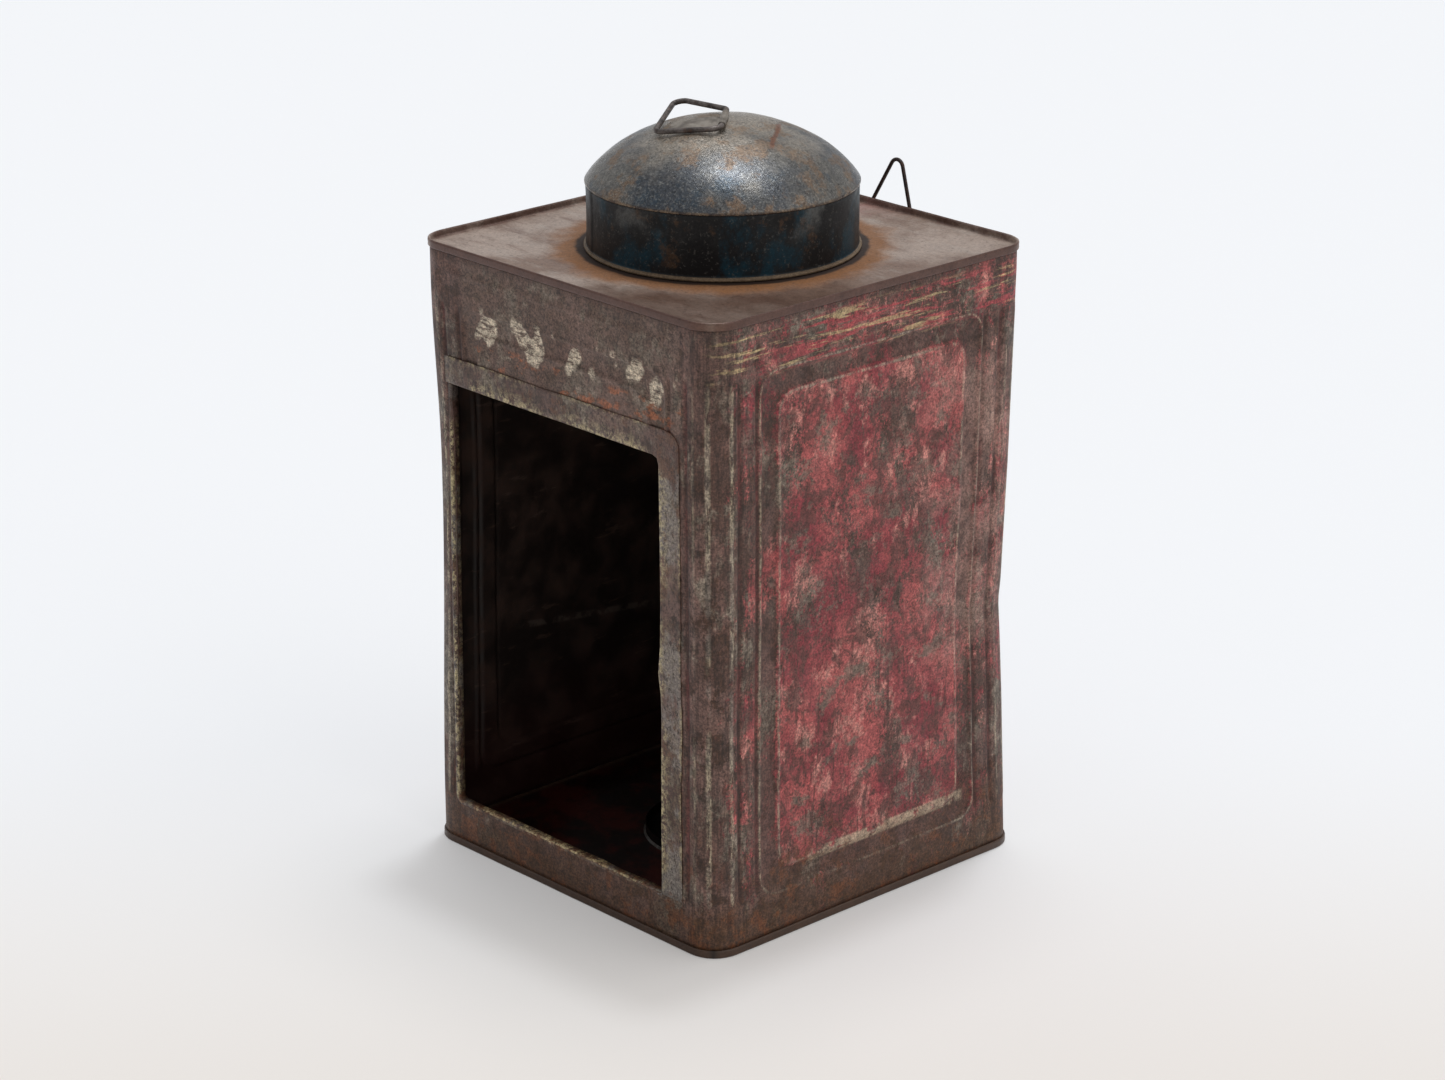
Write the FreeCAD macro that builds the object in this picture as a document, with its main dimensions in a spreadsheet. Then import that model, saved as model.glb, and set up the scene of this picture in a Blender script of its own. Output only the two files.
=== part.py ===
"""Tin-can candle lantern: a square tin with a doorway cut in one wall, a smoke hole under a
lift-off domed cap, a wire ring to lift the cap by and a wire loop behind to hang it from.

The frame has +Z up and its origin under the middle of the tin, on the surface it stands on.
The doorway is in the -Y wall and the hanging loop is on the +Y wall.
"""
import FreeCAD, Part
import math
import os
import Sketcher

Vector = FreeCAD.Vector

SIZES = [
    ("tin_side", 236.0, "outside width of the square tin between its seams"),
    ("tin_height", 355.6, "height over both seams"),
    ("corner_radius", 17.0, "outside radius of the upright corners"),
    ("plate", 0.4, "thickness of the tinplate, walls, cap and small parts alike"),
    ("seam_depth", 4.5, "height of the double seam at each end"),
    ("seam_proud", 1.2, "how far a seam stands outside the wall"),
    ("seam_lip", 0.6, "thickness of the seam's inner leg"),
    ("seam_cover", 0.7, "metal over the wall's edge inside the seam"),
    ("end_recess", 3.8, "depth of each end plate inside its seam"),
    ("panel_inset", 36.0, "distance of the swaged channel's outline from each end of a wall"),
    ("panel_foot", 28.0, "height of that outline's lower side"),
    ("panel_head", 33.6, "distance of its upper side from the tin's top"),
    ("panel_radius", 12.0, "corner radius of the channel's outline"),
    ("channel_width", 11.5, "width of the swaged channel"),
    ("channel_depth", 1.0, "depth of the swaged channel"),
    ("rib_width", 4.4, "width of an upright swaged groove near a corner"),
    ("rib_spacing", 12.7, "distance between the two grooves near a corner"),
    ("rib_inset", 33.0, "distance of the inner groove from the wall's end"),
    ("door_jamb_left", 23.2, "distance of the doorway from the wall's left end"),
    ("door_jamb_right", 40.0, "distance of the doorway from the wall's right end"),
    ("door_sill", 28.0, "height of the doorway's sill"),
    ("door_header", 78.6, "distance of the doorway's upper edge from the tin's top"),
    ("door_radius", 4.0, "corner radius of the doorway"),
    ("flap_width", 16.0, "width of the flaps folded outward at the right and the top"),
    ("flap_proud", 0.6, "how far those flaps stand outside the wall"),
    ("flange_depth", 4.5, "depth of the flanges folded inward at the left and the sill"),
    ("side_seam_width", 6.5, "width of the locked side seam"),
    ("side_seam_proud", 0.9, "how far the side seam stands outside the wall"),
    ("smoke_ledge", 2.5, "width of the top plate inside the collar's foot"),
    ("collar_gap", 1.9, "radial gap between the collar and the cap's band"),
    ("collar_height", 14.0, "height of the collar over the top plate"),
    ("collar_foot", 6.5, "width of the collar's foot"),
    ("vent_radius", 3.5, "radius of a vent hole in the collar"),
    ("vent_height", 7.5, "height of the vent holes over the top plate"),
    ("vent_count", 18, "number of vent holes"),
    ("band_radius", 74.3, "outside radius of the cap's upright band"),
    ("cap_clearance", 0.3, "gap between the cap's bead and the top plate"),
    ("bead_wire_radius", 0.5, "radius of the wire inside the cap's rolled edge"),
    ("bead_play", 0.02, "gap between that wire and the rolled edge"),
    ("dome_edge", 37.5, "height of the dome's edge over the top plate"),
    ("dome_skirt", 1.2, "height of the dome's turned-down edge"),
    ("crown_radius", 107.0, "radius of the dome's crown"),
    ("shoulder_radius", 67.0, "radius of the dome's shoulder"),
    ("lap_width", 5.0, "width of the lap where the band's ends meet"),
    ("lap_angle", 244.2, "direction of the lap from +X"),
    ("ring_wire_radius", 1.5, "radius of the lifting ring's wire"),
    ("hinge_play", 0.05, "radial clearance of a wire in its knuckle"),
    ("ring_hinge_distance", 10.6, "distance of the ring's hinge from the cap's middle"),
    ("ring_hinge_bearing", -39.2, "direction of the hinge's middle from the cap's middle"),
    ("ring_hinge_turn", -49.4, "direction in which the hinge runs"),
    ("ring_near_half", 15.75, "half the length of the ring's hinge side"),
    ("ring_far_front", 10.8, "far side's front end, along the hinge from its middle"),
    ("ring_far_back", -41.3, "far side's back end, along the hinge from its middle"),
    ("ring_reach_front", 36.5, "distance of the far side's front end from the hinge"),
    ("ring_reach_back", 31.0, "distance of the far side's back end from the hinge"),
    ("ring_gap", 0.2, "gap between the resting ring and the dome"),
    ("ring_bend", 5.0, "radius of the ring's bends"),
    ("knuckle_margin", 0.3, "straight wire left between the knuckle and each bend"),
    ("leaf_margin", 0.8, "gap between the ring's wire and the leaf under it"),
    ("leaf_reach", 29.0, "length of that leaf from the hinge"),
    ("loop_wire_radius", 1.1, "radius of the hanging loop's wire"),
    ("loop_hinge_drop", 18.6, "distance of the loop's hinge below the tin's top"),
    ("loop_left", -14.7, "left end of the loop's hinge side"),
    ("loop_right", 29.4, "right end of the loop's hinge side"),
    ("loop_peak", 12.5, "sideways place of the loop's peak"),
    ("loop_rise", 49.6, "height of the legs' meeting point over the hinge"),
    ("loop_top_radius", 4.7, "radius of the bend at the loop's peak"),
    ("loop_bend", 3.5, "radius of the loop's lower bends"),
    ("loop_lean", 4.5, "angle at which the loop leans away from the wall"),
    ("strap_length", 22.0, "length of the loop's knuckle"),
    ("strap_drop", 12.0, "height of the strap's leaf below the hinge"),
    ("pan_radius", 45.0, "outside radius of the drip pan"),
    ("pan_height", 6.0, "height of the drip pan"),
    ("candle_radius", 11.0, "radius of the candle socket's bore"),
    ("socket_height", 24.0, "height of the candle socket"),
    ("solder_leg", 1.2, "width and height of a solder fillet"),
]

QUARTER_TURNS = 4
BLEND_ANGLE = 30.0

doc = FreeCAD.newDocument("Lantern")
sheet = doc.addObject("Spreadsheet::Sheet", "Sizes")


def fill_sheet():
    """One row per driving size: its name, its value with an alias, and what it is."""
    for row, (name, number, meaning) in enumerate(SIZES, start=1):
        sheet.set(f"A{row}", name)
        sheet.set(f"B{row}", str(number))
        sheet.setAlias(f"B{row}", name)
        sheet.set(f"C{row}", meaning)
    doc.recompute()


def size(name):
    return float(sheet.get(name))


def bind(thing, bindings):
    """Binds properties to expressions in which a bare word is a named size."""
    names = sorted((name for name, _, _ in SIZES), key=len, reverse=True)
    for target, text in bindings.items():
        words = text.replace("(", "( ").replace(")", " )").split()
        words = [f"Sizes.{word}" if word in names else word for word in words]
        thing.setExpression(target, " ".join(words))


# Heights and half widths that several pieces share.
TOP_PLATE = "( tin_height - end_recess )"
FLOOR = "( end_recess + plate )"
WALL = "( tin_side / 2 )"
COLLAR = "( band_radius - plate - collar_gap )"
PANEL_WIDTH = "( tin_side - 2 * panel_inset )"
PANEL_HEIGHT = "( tin_height - panel_foot - panel_head )"
PANEL_MIDDLE = "( ( tin_height + panel_foot - panel_head ) / 2 )"
DOOR_WIDTH = "( tin_side - door_jamb_left - door_jamb_right )"
DOOR_SHIFT = "( ( door_jamb_left - door_jamb_right ) / 2 )"
DOOR_HEIGHT = "( tin_height - door_sill - door_header )"
DOOR_MIDDLE = "( door_sill + tin_height - door_header ) / 2"


def new_body(label):
    body = doc.addObject("PartDesign::Body", label)
    body.Label = label
    return body


def new_sketch(body, name, plane, place):
    """A sketch on one of the body's origin planes, moved by bound offsets."""
    sketch = body.newObject("Sketcher::SketchObject", name)
    role = {"XY": "XY_Plane", "XZ": "XZ_Plane", "YZ": "YZ_Plane"}[plane]
    planes = [item for item in body.Origin.OriginFeatures if item.Role == role]
    sketch.AttachmentSupport = [(planes[0], "")]
    sketch.MapMode = "FlatFace"
    bind(sketch, {f"AttachmentOffset.Base.{axis}": text for axis, text in place.items()})
    return sketch


def add_rounded_rectangle(sketch, width, height, radius):
    """A rectangle about the sketch's origin with arcs at its corners."""
    half_w, half_h, r = 50.0, 60.0, 5.0
    first = sketch.GeometryCount
    corners = [(1, -1, -90), (1, 1, 0), (-1, 1, 90), (-1, -1, 180)]
    ends = []
    for sx, sy, start in corners:
        middle = Vector(sx * (half_w - r), sy * (half_h - r), 0)
        circle = Part.Circle(middle, Vector(0, 0, 1), r)
        arc = Part.ArcOfCircle(circle, math.radians(start), math.radians(start + 90))
        ends.append((arc.StartPoint, arc.EndPoint))
        sketch.addGeometry(arc, False)
    for i in range(4):
        sketch.addGeometry(Part.LineSegment(ends[i][1], ends[(i + 1) % 4][0]), False)
    add = sketch.addConstraint
    for i in range(4):
        arc, line, following = first + i, first + 4 + i, first + (i + 1) % 4
        add(Sketcher.Constraint("Tangent", arc, 2, line, 1))
        add(Sketcher.Constraint("Tangent", line, 2, following, 1))
        add(Sketcher.Constraint("Vertical" if i % 2 == 0 else "Horizontal", line))
    for i in range(1, 4):
        add(Sketcher.Constraint("Equal", first, first + i))
    add(Sketcher.Constraint("Symmetric", first, 3, first + 2, 3, -1, 1))
    right, top, left, bottom = first + 4, first + 5, first + 6, first + 7
    across = add(Sketcher.Constraint("DistanceX", left, 1, right, 1, 2 * half_w))
    along = add(Sketcher.Constraint("DistanceY", bottom, 1, top, 1, 2 * half_h))
    corner = add(Sketcher.Constraint("Radius", first, r))
    for index, text in ((across, width), (along, height), (corner, radius)):
        bind(sketch, {f"Constraints[{index}]": text})


def add_circle(sketch, radius):
    circle = sketch.addGeometry(Part.Circle(Vector(0, 0, 0), Vector(0, 0, 1), 5.0), False)
    sketch.addConstraint(Sketcher.Constraint("Coincident", circle, 3, -1, 1))
    index = sketch.addConstraint(Sketcher.Constraint("Radius", circle, 5.0))
    bind(sketch, {f"Constraints[{index}]": radius})


def pad(body, sketch, name, length, backward=False):
    feature = body.newObject("PartDesign::Pad", name)
    feature.Profile = sketch
    feature.Reversed = backward
    bind(feature, {"Length": length})
    sketch.Visibility = False
    return feature


def pocket(body, sketch, name, depth, backward=False):
    """A cut of the given depth, which has to take metal away."""
    doc.recompute()
    before = body.Shape.Volume
    feature = body.newObject("PartDesign::Pocket", name)
    feature.Profile = sketch
    feature.Reversed = backward
    bind(feature, {"Length": depth})
    sketch.Visibility = False
    doc.recompute()
    if not body.Shape.Volume < before:
        raise RuntimeError(f"{body.Label}: {name} cuts nothing")
    return feature


def repeat_round(body, features, name, count):
    """Copies of the features about the body's Z axis."""
    pattern = body.newObject("PartDesign::PolarPattern", name)
    pattern.Originals = features
    axes = [item for item in body.Origin.OriginFeatures if item.Role == "Z_Axis"]
    pattern.Axis = (axes[0], [""])
    pattern.Angle = 360
    if isinstance(count, str):
        bind(pattern, {"Occurrences": count})
    else:
        pattern.Occurrences = count
    body.Tip = pattern
    doc.recompute()
    return pattern


def add_walls(body):
    """The four walls as one open sleeve of tinplate between the two seams."""
    outside = new_sketch(body, "WallOutside", "XY", {"z": "seam_cover"})
    add_rounded_rectangle(outside, "tin_side", "tin_side", "corner_radius")
    pad(body, outside, "Walls", "tin_height - 2 * seam_cover")
    inside = new_sketch(body, "WallInside", "XY", {"z": "seam_cover"})
    inner = "tin_side - 2 * plate"
    add_rounded_rectangle(inside, inner, inner, "corner_radius - plate")
    pocket(body, inside, "Hollow", "tin_height - 2 * seam_cover", backward=True)


def swaged_frame(body, name, offset, margin):
    """Sketch of the channel round a panel on the +X wall, narrower by a margin each side."""
    sketch = new_sketch(body, name, "YZ", {"y": PANEL_MIDDLE, "z": offset})
    add_rounded_rectangle(sketch, f"{PANEL_WIDTH} - 2 * {margin}",
                          f"{PANEL_HEIGHT} - 2 * {margin}", f"panel_radius - {margin}")
    inward = f"2 * ( channel_width - {margin} )"
    add_rounded_rectangle(sketch, f"{PANEL_WIDTH} - {inward}", f"{PANEL_HEIGHT} - {inward}",
                          f"panel_radius / 2 + {margin}")
    return sketch


def rib_sketches(body, name, offset, margin):
    """Sketches of the two upright grooves beside each end of the +X wall."""
    sketches = []
    for side in (-1, 1):
        for step in (0, 1):
            across = f"{side} * ( {WALL} - rib_inset + {step} * rib_spacing )"
            label = f"{name}{'Near' if side < 0 else 'Far'}{step}"
            sketch = new_sketch(body, label, "YZ",
                                {"x": across, "y": PANEL_MIDDLE, "z": offset})
            add_rounded_rectangle(sketch, f"rib_width - 2 * {margin}",
                                  f"{PANEL_HEIGHT} - 2 * {margin}", "rib_width / 4")
            sketches.append(sketch)
    return sketches


def add_swages(body):
    """A channel and four upright grooves pressed into each wall, metal bulging inward."""
    back = swaged_frame(body, "ChannelBack", f"{WALL} - plate", "0")
    features = [pad(body, back, "ChannelMetal", "channel_depth", backward=True)]
    for sketch in rib_sketches(body, "RibBack", f"{WALL} - plate", "0"):
        features.append(pad(body, sketch, sketch.Name + "Metal", "channel_depth", True))
    face = swaged_frame(body, "ChannelFace", WALL, "plate")
    features.append(pocket(body, face, "Channel", "channel_depth"))
    for sketch in rib_sketches(body, "RibFace", WALL, "plate"):
        features.append(pocket(body, sketch, sketch.Name + "Groove", "channel_depth"))
    repeat_round(body, features, "FourWalls", QUARTER_TURNS)


def add_side_seam(body):
    """The locked seam that closes the sleeve, between two grooves of the back wall."""
    seam = new_sketch(body, "SideSeam", "XZ",
                      {"x": f"rib_inset - rib_spacing / 2 - {WALL}", "y": "tin_height / 2",
                       "z": f"0 - {WALL} + plate"})
    add_rounded_rectangle(seam, "side_seam_width", "tin_height - 2 * seam_depth - 2 * plate",
                          "plate")
    pad(body, seam, "SideSeamFold", "side_seam_proud + plate", backward=True)


def add_doorway(body):
    """The doorway, its outward flaps at the right and the top, and its inward flanges."""
    flap = new_sketch(body, "Flaps", "XZ",
                      {"x": f"{DOOR_SHIFT} + flap_width / 2",
                       "y": f"{DOOR_MIDDLE} + flap_width / 2", "z": f"{WALL} - channel_depth"})
    add_rounded_rectangle(flap, f"{DOOR_WIDTH} + flap_width", f"{DOOR_HEIGHT} + flap_width",
                          "door_radius")
    pad(body, flap, "OutwardFlaps", "channel_depth + flap_proud")
    lip = new_sketch(body, "Flanges", "XZ",
                     {"x": f"{DOOR_SHIFT} - plate / 2", "y": f"{DOOR_MIDDLE} - plate / 2",
                      "z": f"{WALL} - plate - flange_depth"})
    add_rounded_rectangle(lip, f"{DOOR_WIDTH} + plate", f"{DOOR_HEIGHT} + plate", "door_radius")
    pad(body, lip, "InwardFlanges", "flange_depth + plate")
    door = new_sketch(body, "Door", "XZ",
                      {"x": DOOR_SHIFT, "y": DOOR_MIDDLE, "z": f"{WALL} + flap_proud"})
    add_rounded_rectangle(door, DOOR_WIDTH, DOOR_HEIGHT, "door_radius")
    pocket(body, door, "Doorway", "flap_proud + 2 * plate + flange_depth + channel_depth")


def make_body_wrap():
    body = new_body("body_wrap")
    add_walls(body)
    add_swages(body)
    add_side_seam(body)
    add_doorway(body)


def make_end(label, rim_low, plate_low, groove_low, smoke_hole):
    """An end plate whose edge is rolled over the wall's edge in a double seam."""
    body = new_body(label)
    outer = "tin_side + 2 * seam_proud"
    inner = "tin_side - 2 * plate - 2 * seam_lip"
    rim = new_sketch(body, "RimOutline", "XY", {"z": rim_low})
    add_rounded_rectangle(rim, outer, outer, "corner_radius + seam_proud")
    add_rounded_rectangle(rim, inner, inner, "corner_radius - plate - seam_lip")
    pad(body, rim, "Rim", "seam_depth")
    panel = new_sketch(body, "PlateOutline", "XY", {"z": plate_low})
    add_rounded_rectangle(panel, inner, inner, "corner_radius - plate - seam_lip")
    if smoke_hole:
        add_circle(panel, f"{COLLAR} - collar_foot - smoke_ledge")
    pad(body, panel, "EndPlate", "plate")
    groove = new_sketch(body, "GrooveOutline", "XY", {"z": groove_low})
    add_rounded_rectangle(groove, "tin_side", "tin_side", "corner_radius")
    hollow = "tin_side - 2 * plate"
    add_rounded_rectangle(groove, hollow, hollow, "corner_radius - plate")
    pocket(body, groove, "WallGroove", "seam_depth - seam_cover", backward=True)


def make_smoke_collar():
    """The collar that keeps the cap over the smoke hole, with vents punched round it."""
    body = new_body("smoke_collar")
    foot = new_sketch(body, "FootOutline", "XY", {"z": TOP_PLATE})
    add_circle(foot, COLLAR)
    add_circle(foot, f"{COLLAR} - collar_foot")
    pad(body, foot, "Foot", "plate")
    wall = new_sketch(body, "CollarOutline", "XY", {"z": TOP_PLATE})
    add_circle(wall, COLLAR)
    add_circle(wall, f"{COLLAR} - plate")
    pad(body, wall, "Collar", "collar_height")
    vent = new_sketch(body, "VentOutline", "YZ",
                      {"y": f"{TOP_PLATE} + vent_height", "z": f"{COLLAR} + plate"})
    add_circle(vent, "vent_radius")
    cut = pocket(body, vent, "Vent", "4 * plate")
    repeat_round(body, [cut], "Vents", "vent_count")


def primitive(kind, name, bindings):
    """A Part primitive with its sizes and its place bound to the sheet."""
    thing = doc.addObject(f"Part::{kind}", name)
    bind(thing, bindings)
    return thing


def tube(name, outer, inner, low, height):
    """A plain ring between two radii, standing on a given height."""
    outside = primitive("Cylinder", name + "Outside",
                        {"Radius": outer, "Height": height, "Placement.Base.z": low})
    bore = primitive("Cylinder", name + "Bore",
                     {"Radius": inner, "Height": height, "Placement.Base.z": low})
    return cut(name + "Tube", outside, bore)


def cut(name, base, tool):
    thing = doc.addObject("Part::Cut", name)
    thing.Base = base
    thing.Tool = tool
    return thing


def fuse(name, pieces):
    thing = doc.addObject("Part::MultiFuse", name)
    thing.Shapes = pieces
    return thing


def make_solder_ring(label, radius, low):
    """A sloping fillet of solder round the outside of an upright wall."""
    fillet = primitive("Cone", label + "Fillet",
                       {"Radius1": f"{radius} + solder_leg", "Radius2": f"{radius} + plate / 4",
                        "Height": "solder_leg", "Placement.Base.z": low})
    bore = primitive("Cylinder", label + "Bore",
                     {"Radius": radius, "Height": "solder_leg", "Placement.Base.z": low})
    cut(label, fillet, bore).Label = label


def make_drip_pan():
    wall = tube("PanWall", "pan_radius", "pan_radius - plate", FLOOR, "pan_height")
    disc = primitive("Cylinder", "PanDisc",
                     {"Radius": "pan_radius", "Height": "plate", "Placement.Base.z": FLOOR})
    fuse("drip_pan", [wall, disc]).Label = "drip_pan"


def make_candle_socket():
    socket = tube("Socket", "candle_radius + plate", "candle_radius", f"{FLOOR} + plate",
                  "socket_height")
    socket.Label = "candle_socket"


BEAD = "( bead_wire_radius + plate )"
BEAD_RING = f"( band_radius - plate + {BEAD} )"
BEAD_HEIGHT = f"( {TOP_PLATE} + cap_clearance + {BEAD} )"


def bead_torus(name, thickness):
    return primitive("Torus", name, {"Radius1": BEAD_RING, "Radius2": thickness,
                                     "Placement.Base.z": BEAD_HEIGHT})


def make_cap_band():
    """The cap's upright band: its ends lap, and its lower edge is rolled over a wire."""
    top = f"( {TOP_PLATE} + dome_edge - plate )"
    band = tube("Band", "band_radius", "band_radius - plate", BEAD_HEIGHT,
                f"{top} - {BEAD_HEIGHT}")
    low = f"( {BEAD_HEIGHT} + {BEAD} )"
    lap_height = f"{top} - {low} - dome_skirt"
    lap_turn = "lap_width / band_radius * 180 deg / pi"
    outer = primitive("Cylinder", "LapOutside",
                      {"Radius": "band_radius + plate", "Height": lap_height,
                       "Angle": lap_turn, "Placement.Base.z": low,
                       "Placement.Rotation.Angle": "lap_angle * 1 deg"})
    bore = primitive("Cylinder", "LapBore",
                     {"Radius": "band_radius - plate / 2", "Height": lap_height,
                      "Placement.Base.z": low})
    lap = cut("Lap", outer, bore)
    whole = fuse("BandWithBead", [band, lap, bead_torus("BeadOutside", BEAD)])
    hollow = bead_torus("BeadHollow", "bead_wire_radius")
    cut("cap_band", whole, hollow).Label = "cap_band"
    bead_torus("cap_bead_wire", "bead_wire_radius - bead_play").Label = "cap_bead_wire"


def add_feature(label, shape, placement=None):
    feature = doc.addObject("Part::Feature", label)
    feature.Label = label
    feature.Shape = shape
    if placement is not None:
        feature.Placement = placement
    return feature


def dome_apex():
    """Height of the dome's peak, from its edge up the shoulder and the crown."""
    blend = math.radians(BLEND_ANGLE)
    crown, shoulder = size("crown_radius"), size("shoulder_radius")
    inset = (crown - shoulder) * math.sin(blend)
    edge_radius = size("band_radius") + size("plate")
    fall = shoulder * math.sqrt(1 - ((edge_radius - inset) / shoulder) ** 2)
    edge = size("tin_height") - size("end_recess") + size("dome_edge")
    return edge - fall - (crown - shoulder) * math.cos(blend) + crown


def dome_layer(inner, outer):
    """A layer of the dome between two offsets from its outer face, ended by an upright edge."""
    blend = math.radians(BLEND_ANGLE)
    crown, shoulder = size("crown_radius"), size("shoulder_radius")
    crown_centre = dome_apex() - crown
    inset = (crown - shoulder) * math.sin(blend)
    shoulder_centre = crown_centre + (crown - shoulder) * math.cos(blend)
    edge_radius = size("band_radius") + size("plate")

    def crown_point(angle, offset):
        reach = crown + offset
        return Vector(reach * math.sin(angle), 0, crown_centre + reach * math.cos(angle))

    def shoulder_point(angle, offset):
        reach = shoulder + offset
        return Vector(inset + reach * math.sin(angle), 0, shoulder_centre + reach * math.cos(angle))

    def side(offset):
        last = math.asin((edge_radius + offset - inset) / (shoulder + offset))
        middle = (blend + last) / 2
        return [Part.Arc(crown_point(0, offset), crown_point(blend / 2, offset),
                         crown_point(blend, offset)).toShape(),
                Part.Arc(crown_point(blend, offset), shoulder_point(middle, offset),
                         shoulder_point(last, offset)).toShape()], shoulder_point(last, offset)

    upper, upper_end = side(outer)
    lower, lower_end = side(inner)
    foot = lower_end.z - size("dome_skirt")
    outline = upper + lower
    outer_foot, inner_foot = Vector(upper_end.x, 0, foot), Vector(lower_end.x, 0, foot)
    for start, end in ((upper_end, outer_foot), (outer_foot, inner_foot),
                       (inner_foot, lower_end),
                       (crown_point(0, inner), crown_point(0, outer))):
        outline.append(Part.LineSegment(start, end).toShape())
    face = Part.Face(Part.Wire(Part.__sortEdges__(outline)))
    return face.revolve(Vector(0, 0, 0), Vector(0, 0, 1), 360)


def hinge_frame():
    """Where the ring's hinge lies: X along the hinge, Y across it, Z square to the dome."""
    reach, bearing = size("ring_hinge_distance"), math.radians(size("ring_hinge_bearing"))
    run = math.radians(size("ring_hinge_turn"))
    crown = size("crown_radius")
    slope = math.asin(reach / crown)
    outward = Vector(math.cos(bearing), math.sin(bearing), 0)
    up = outward * math.sin(slope) + Vector(0, 0, math.cos(slope))
    along = Vector(math.cos(run), math.sin(run), 0)
    along = (along - up * along.dot(up)).normalize()
    across = up.cross(along)
    lift = size("ring_wire_radius") + size("hinge_play") + size("plate")
    centre = Vector(0, 0, dome_apex() - crown) + up * (crown + lift)
    turn = FreeCAD.Rotation(along, across, up, "XYZ")
    return FreeCAD.Placement(centre, turn)


def make_cap_dome():
    add_feature("cap_dome", dome_layer(-size("plate"), 0))


def knuckle(radius, length):
    """A rolled knuckle along X about the origin, without its bore."""
    outer = radius + size("hinge_play") + size("plate")
    return Part.makeCylinder(outer, length, Vector(-length / 2, 0, 0), Vector(1, 0, 0))


def knuckle_bore(radius, length):
    return Part.makeCylinder(radius + size("hinge_play"), 2 * length,
                             Vector(-length, 0, 0), Vector(1, 0, 0))


def ring_knuckle_length():
    """The straight run of the ring's hinge side, less a margin at each bend."""
    near = size("ring_near_half")
    corner = math.atan2(size("ring_reach_front"), near - size("ring_far_front"))
    setback = size("ring_bend") / math.tan(corner / 2)
    return 2 * (near - setback - size("knuckle_margin"))


def ring_droop():
    """Angle below the dome's tangent at which the ring's front side all but lies on the dome."""
    crown = size("crown_radius")
    side = (size("ring_near_half") + size("ring_far_front")) / 2
    room = size("hinge_play") + size("plate") + side ** 2 / (2 * crown) - size("ring_gap")
    return math.degrees(math.asin(math.sqrt(2 * room / crown)))


def make_ring_strap():
    """The strap on the dome: a leaf that follows it and a knuckle round the ring's wire."""
    frame = hinge_frame()
    wire = size("ring_wire_radius")
    width = 2 * (size("ring_far_front") - wire - size("leaf_margin"))
    reach = size("leaf_reach")
    depth = size("ring_hinge_distance")
    block = Part.makeBox(width, reach, 2 * depth, Vector(-width / 2, -reach, -1.5 * depth))
    block.Placement = frame
    leaf = dome_layer(0, size("plate")).common(block)
    length = ring_knuckle_length()
    roll = knuckle(wire, length)
    roll.Placement = frame
    bore = knuckle_bore(wire, length)
    bore.Placement = frame
    solid = leaf.fuse(roll).cut(bore)
    add_feature("ring_strap", solid.removeSplitter())


def bent_wire(points, radii, thickness):
    """A closed loop of round wire along straight runs that arcs join at its corners."""
    count = len(points)
    edges = []
    joints = []
    for i, corner in enumerate(points):
        to_last = (points[i - 1] - corner).normalize()
        to_next = (points[(i + 1) % count] - corner).normalize()
        half = to_last.getAngle(to_next) / 2
        setback = radii[i] / math.tan(half)
        middle = (to_last + to_next).normalize()
        centre = corner + middle * (radii[i] / math.sin(half))
        joints.append((corner + to_last * setback, centre - middle * radii[i],
                       corner + to_next * setback))
    for i, (start, through, end) in enumerate(joints):
        edges.append(Part.Arc(start, through, end).toShape())
        edges.append(Part.LineSegment(end, joints[(i + 1) % count][0]).toShape())
    path = Part.Wire(edges)
    run = edges[-1]
    first = run.Vertexes[0].Point
    heading = (run.Vertexes[1].Point - first).normalize()
    path = Part.Wire([run] + edges[:-1])
    ring = Part.Wire(Part.makeCircle(thickness, first, heading))
    pipe = path.makePipeShell([ring], True, False)
    if abs(pipe.Volume) < 0.9 * math.pi * thickness ** 2 * path.Length:
        raise RuntimeError("a bent wire lost part of its length")
    return pipe


def make_ring_handle():
    """The lifting ring: a skewed four-sided loop that rests on the dome."""
    near = size("ring_near_half")
    points = [Vector(-near, 0, 0), Vector(near, 0, 0),
              Vector(size("ring_far_front"), -size("ring_reach_front"), 0),
              Vector(size("ring_far_back"), -size("ring_reach_back"), 0)]
    loop = bent_wire(points, [size("ring_bend")] * 4, size("ring_wire_radius"))
    droop = FreeCAD.Rotation(Vector(1, 0, 0), ring_droop())
    frame = hinge_frame().multiply(FreeCAD.Placement(Vector(0, 0, 0), droop))
    add_feature("ring_handle", loop, frame)


def loop_hinge():
    """Middle of the hanging loop's hinge side."""
    stand = size("loop_wire_radius") + size("hinge_play") + size("plate")
    across = (size("loop_left") + size("loop_right")) / 2
    height = size("tin_height") - size("loop_hinge_drop")
    return Vector(across, size("tin_side") / 2 + stand, height)


def make_hanger_strap():
    """The strap on the back wall: a flat leaf and a knuckle round the loop's wire."""
    length = size("strap_length")
    stand = size("loop_wire_radius") + size("hinge_play") + size("plate")
    leaf = Part.makeBox(length, size("plate"), size("strap_drop"),
                        Vector(-length / 2, -stand, -size("strap_drop")))
    solid = leaf.fuse(knuckle(size("loop_wire_radius"), length))
    solid = solid.cut(knuckle_bore(size("loop_wire_radius"), length))
    add_feature("hanger_strap", solid.removeSplitter(),
                FreeCAD.Placement(loop_hinge(), FreeCAD.Rotation()))


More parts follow.
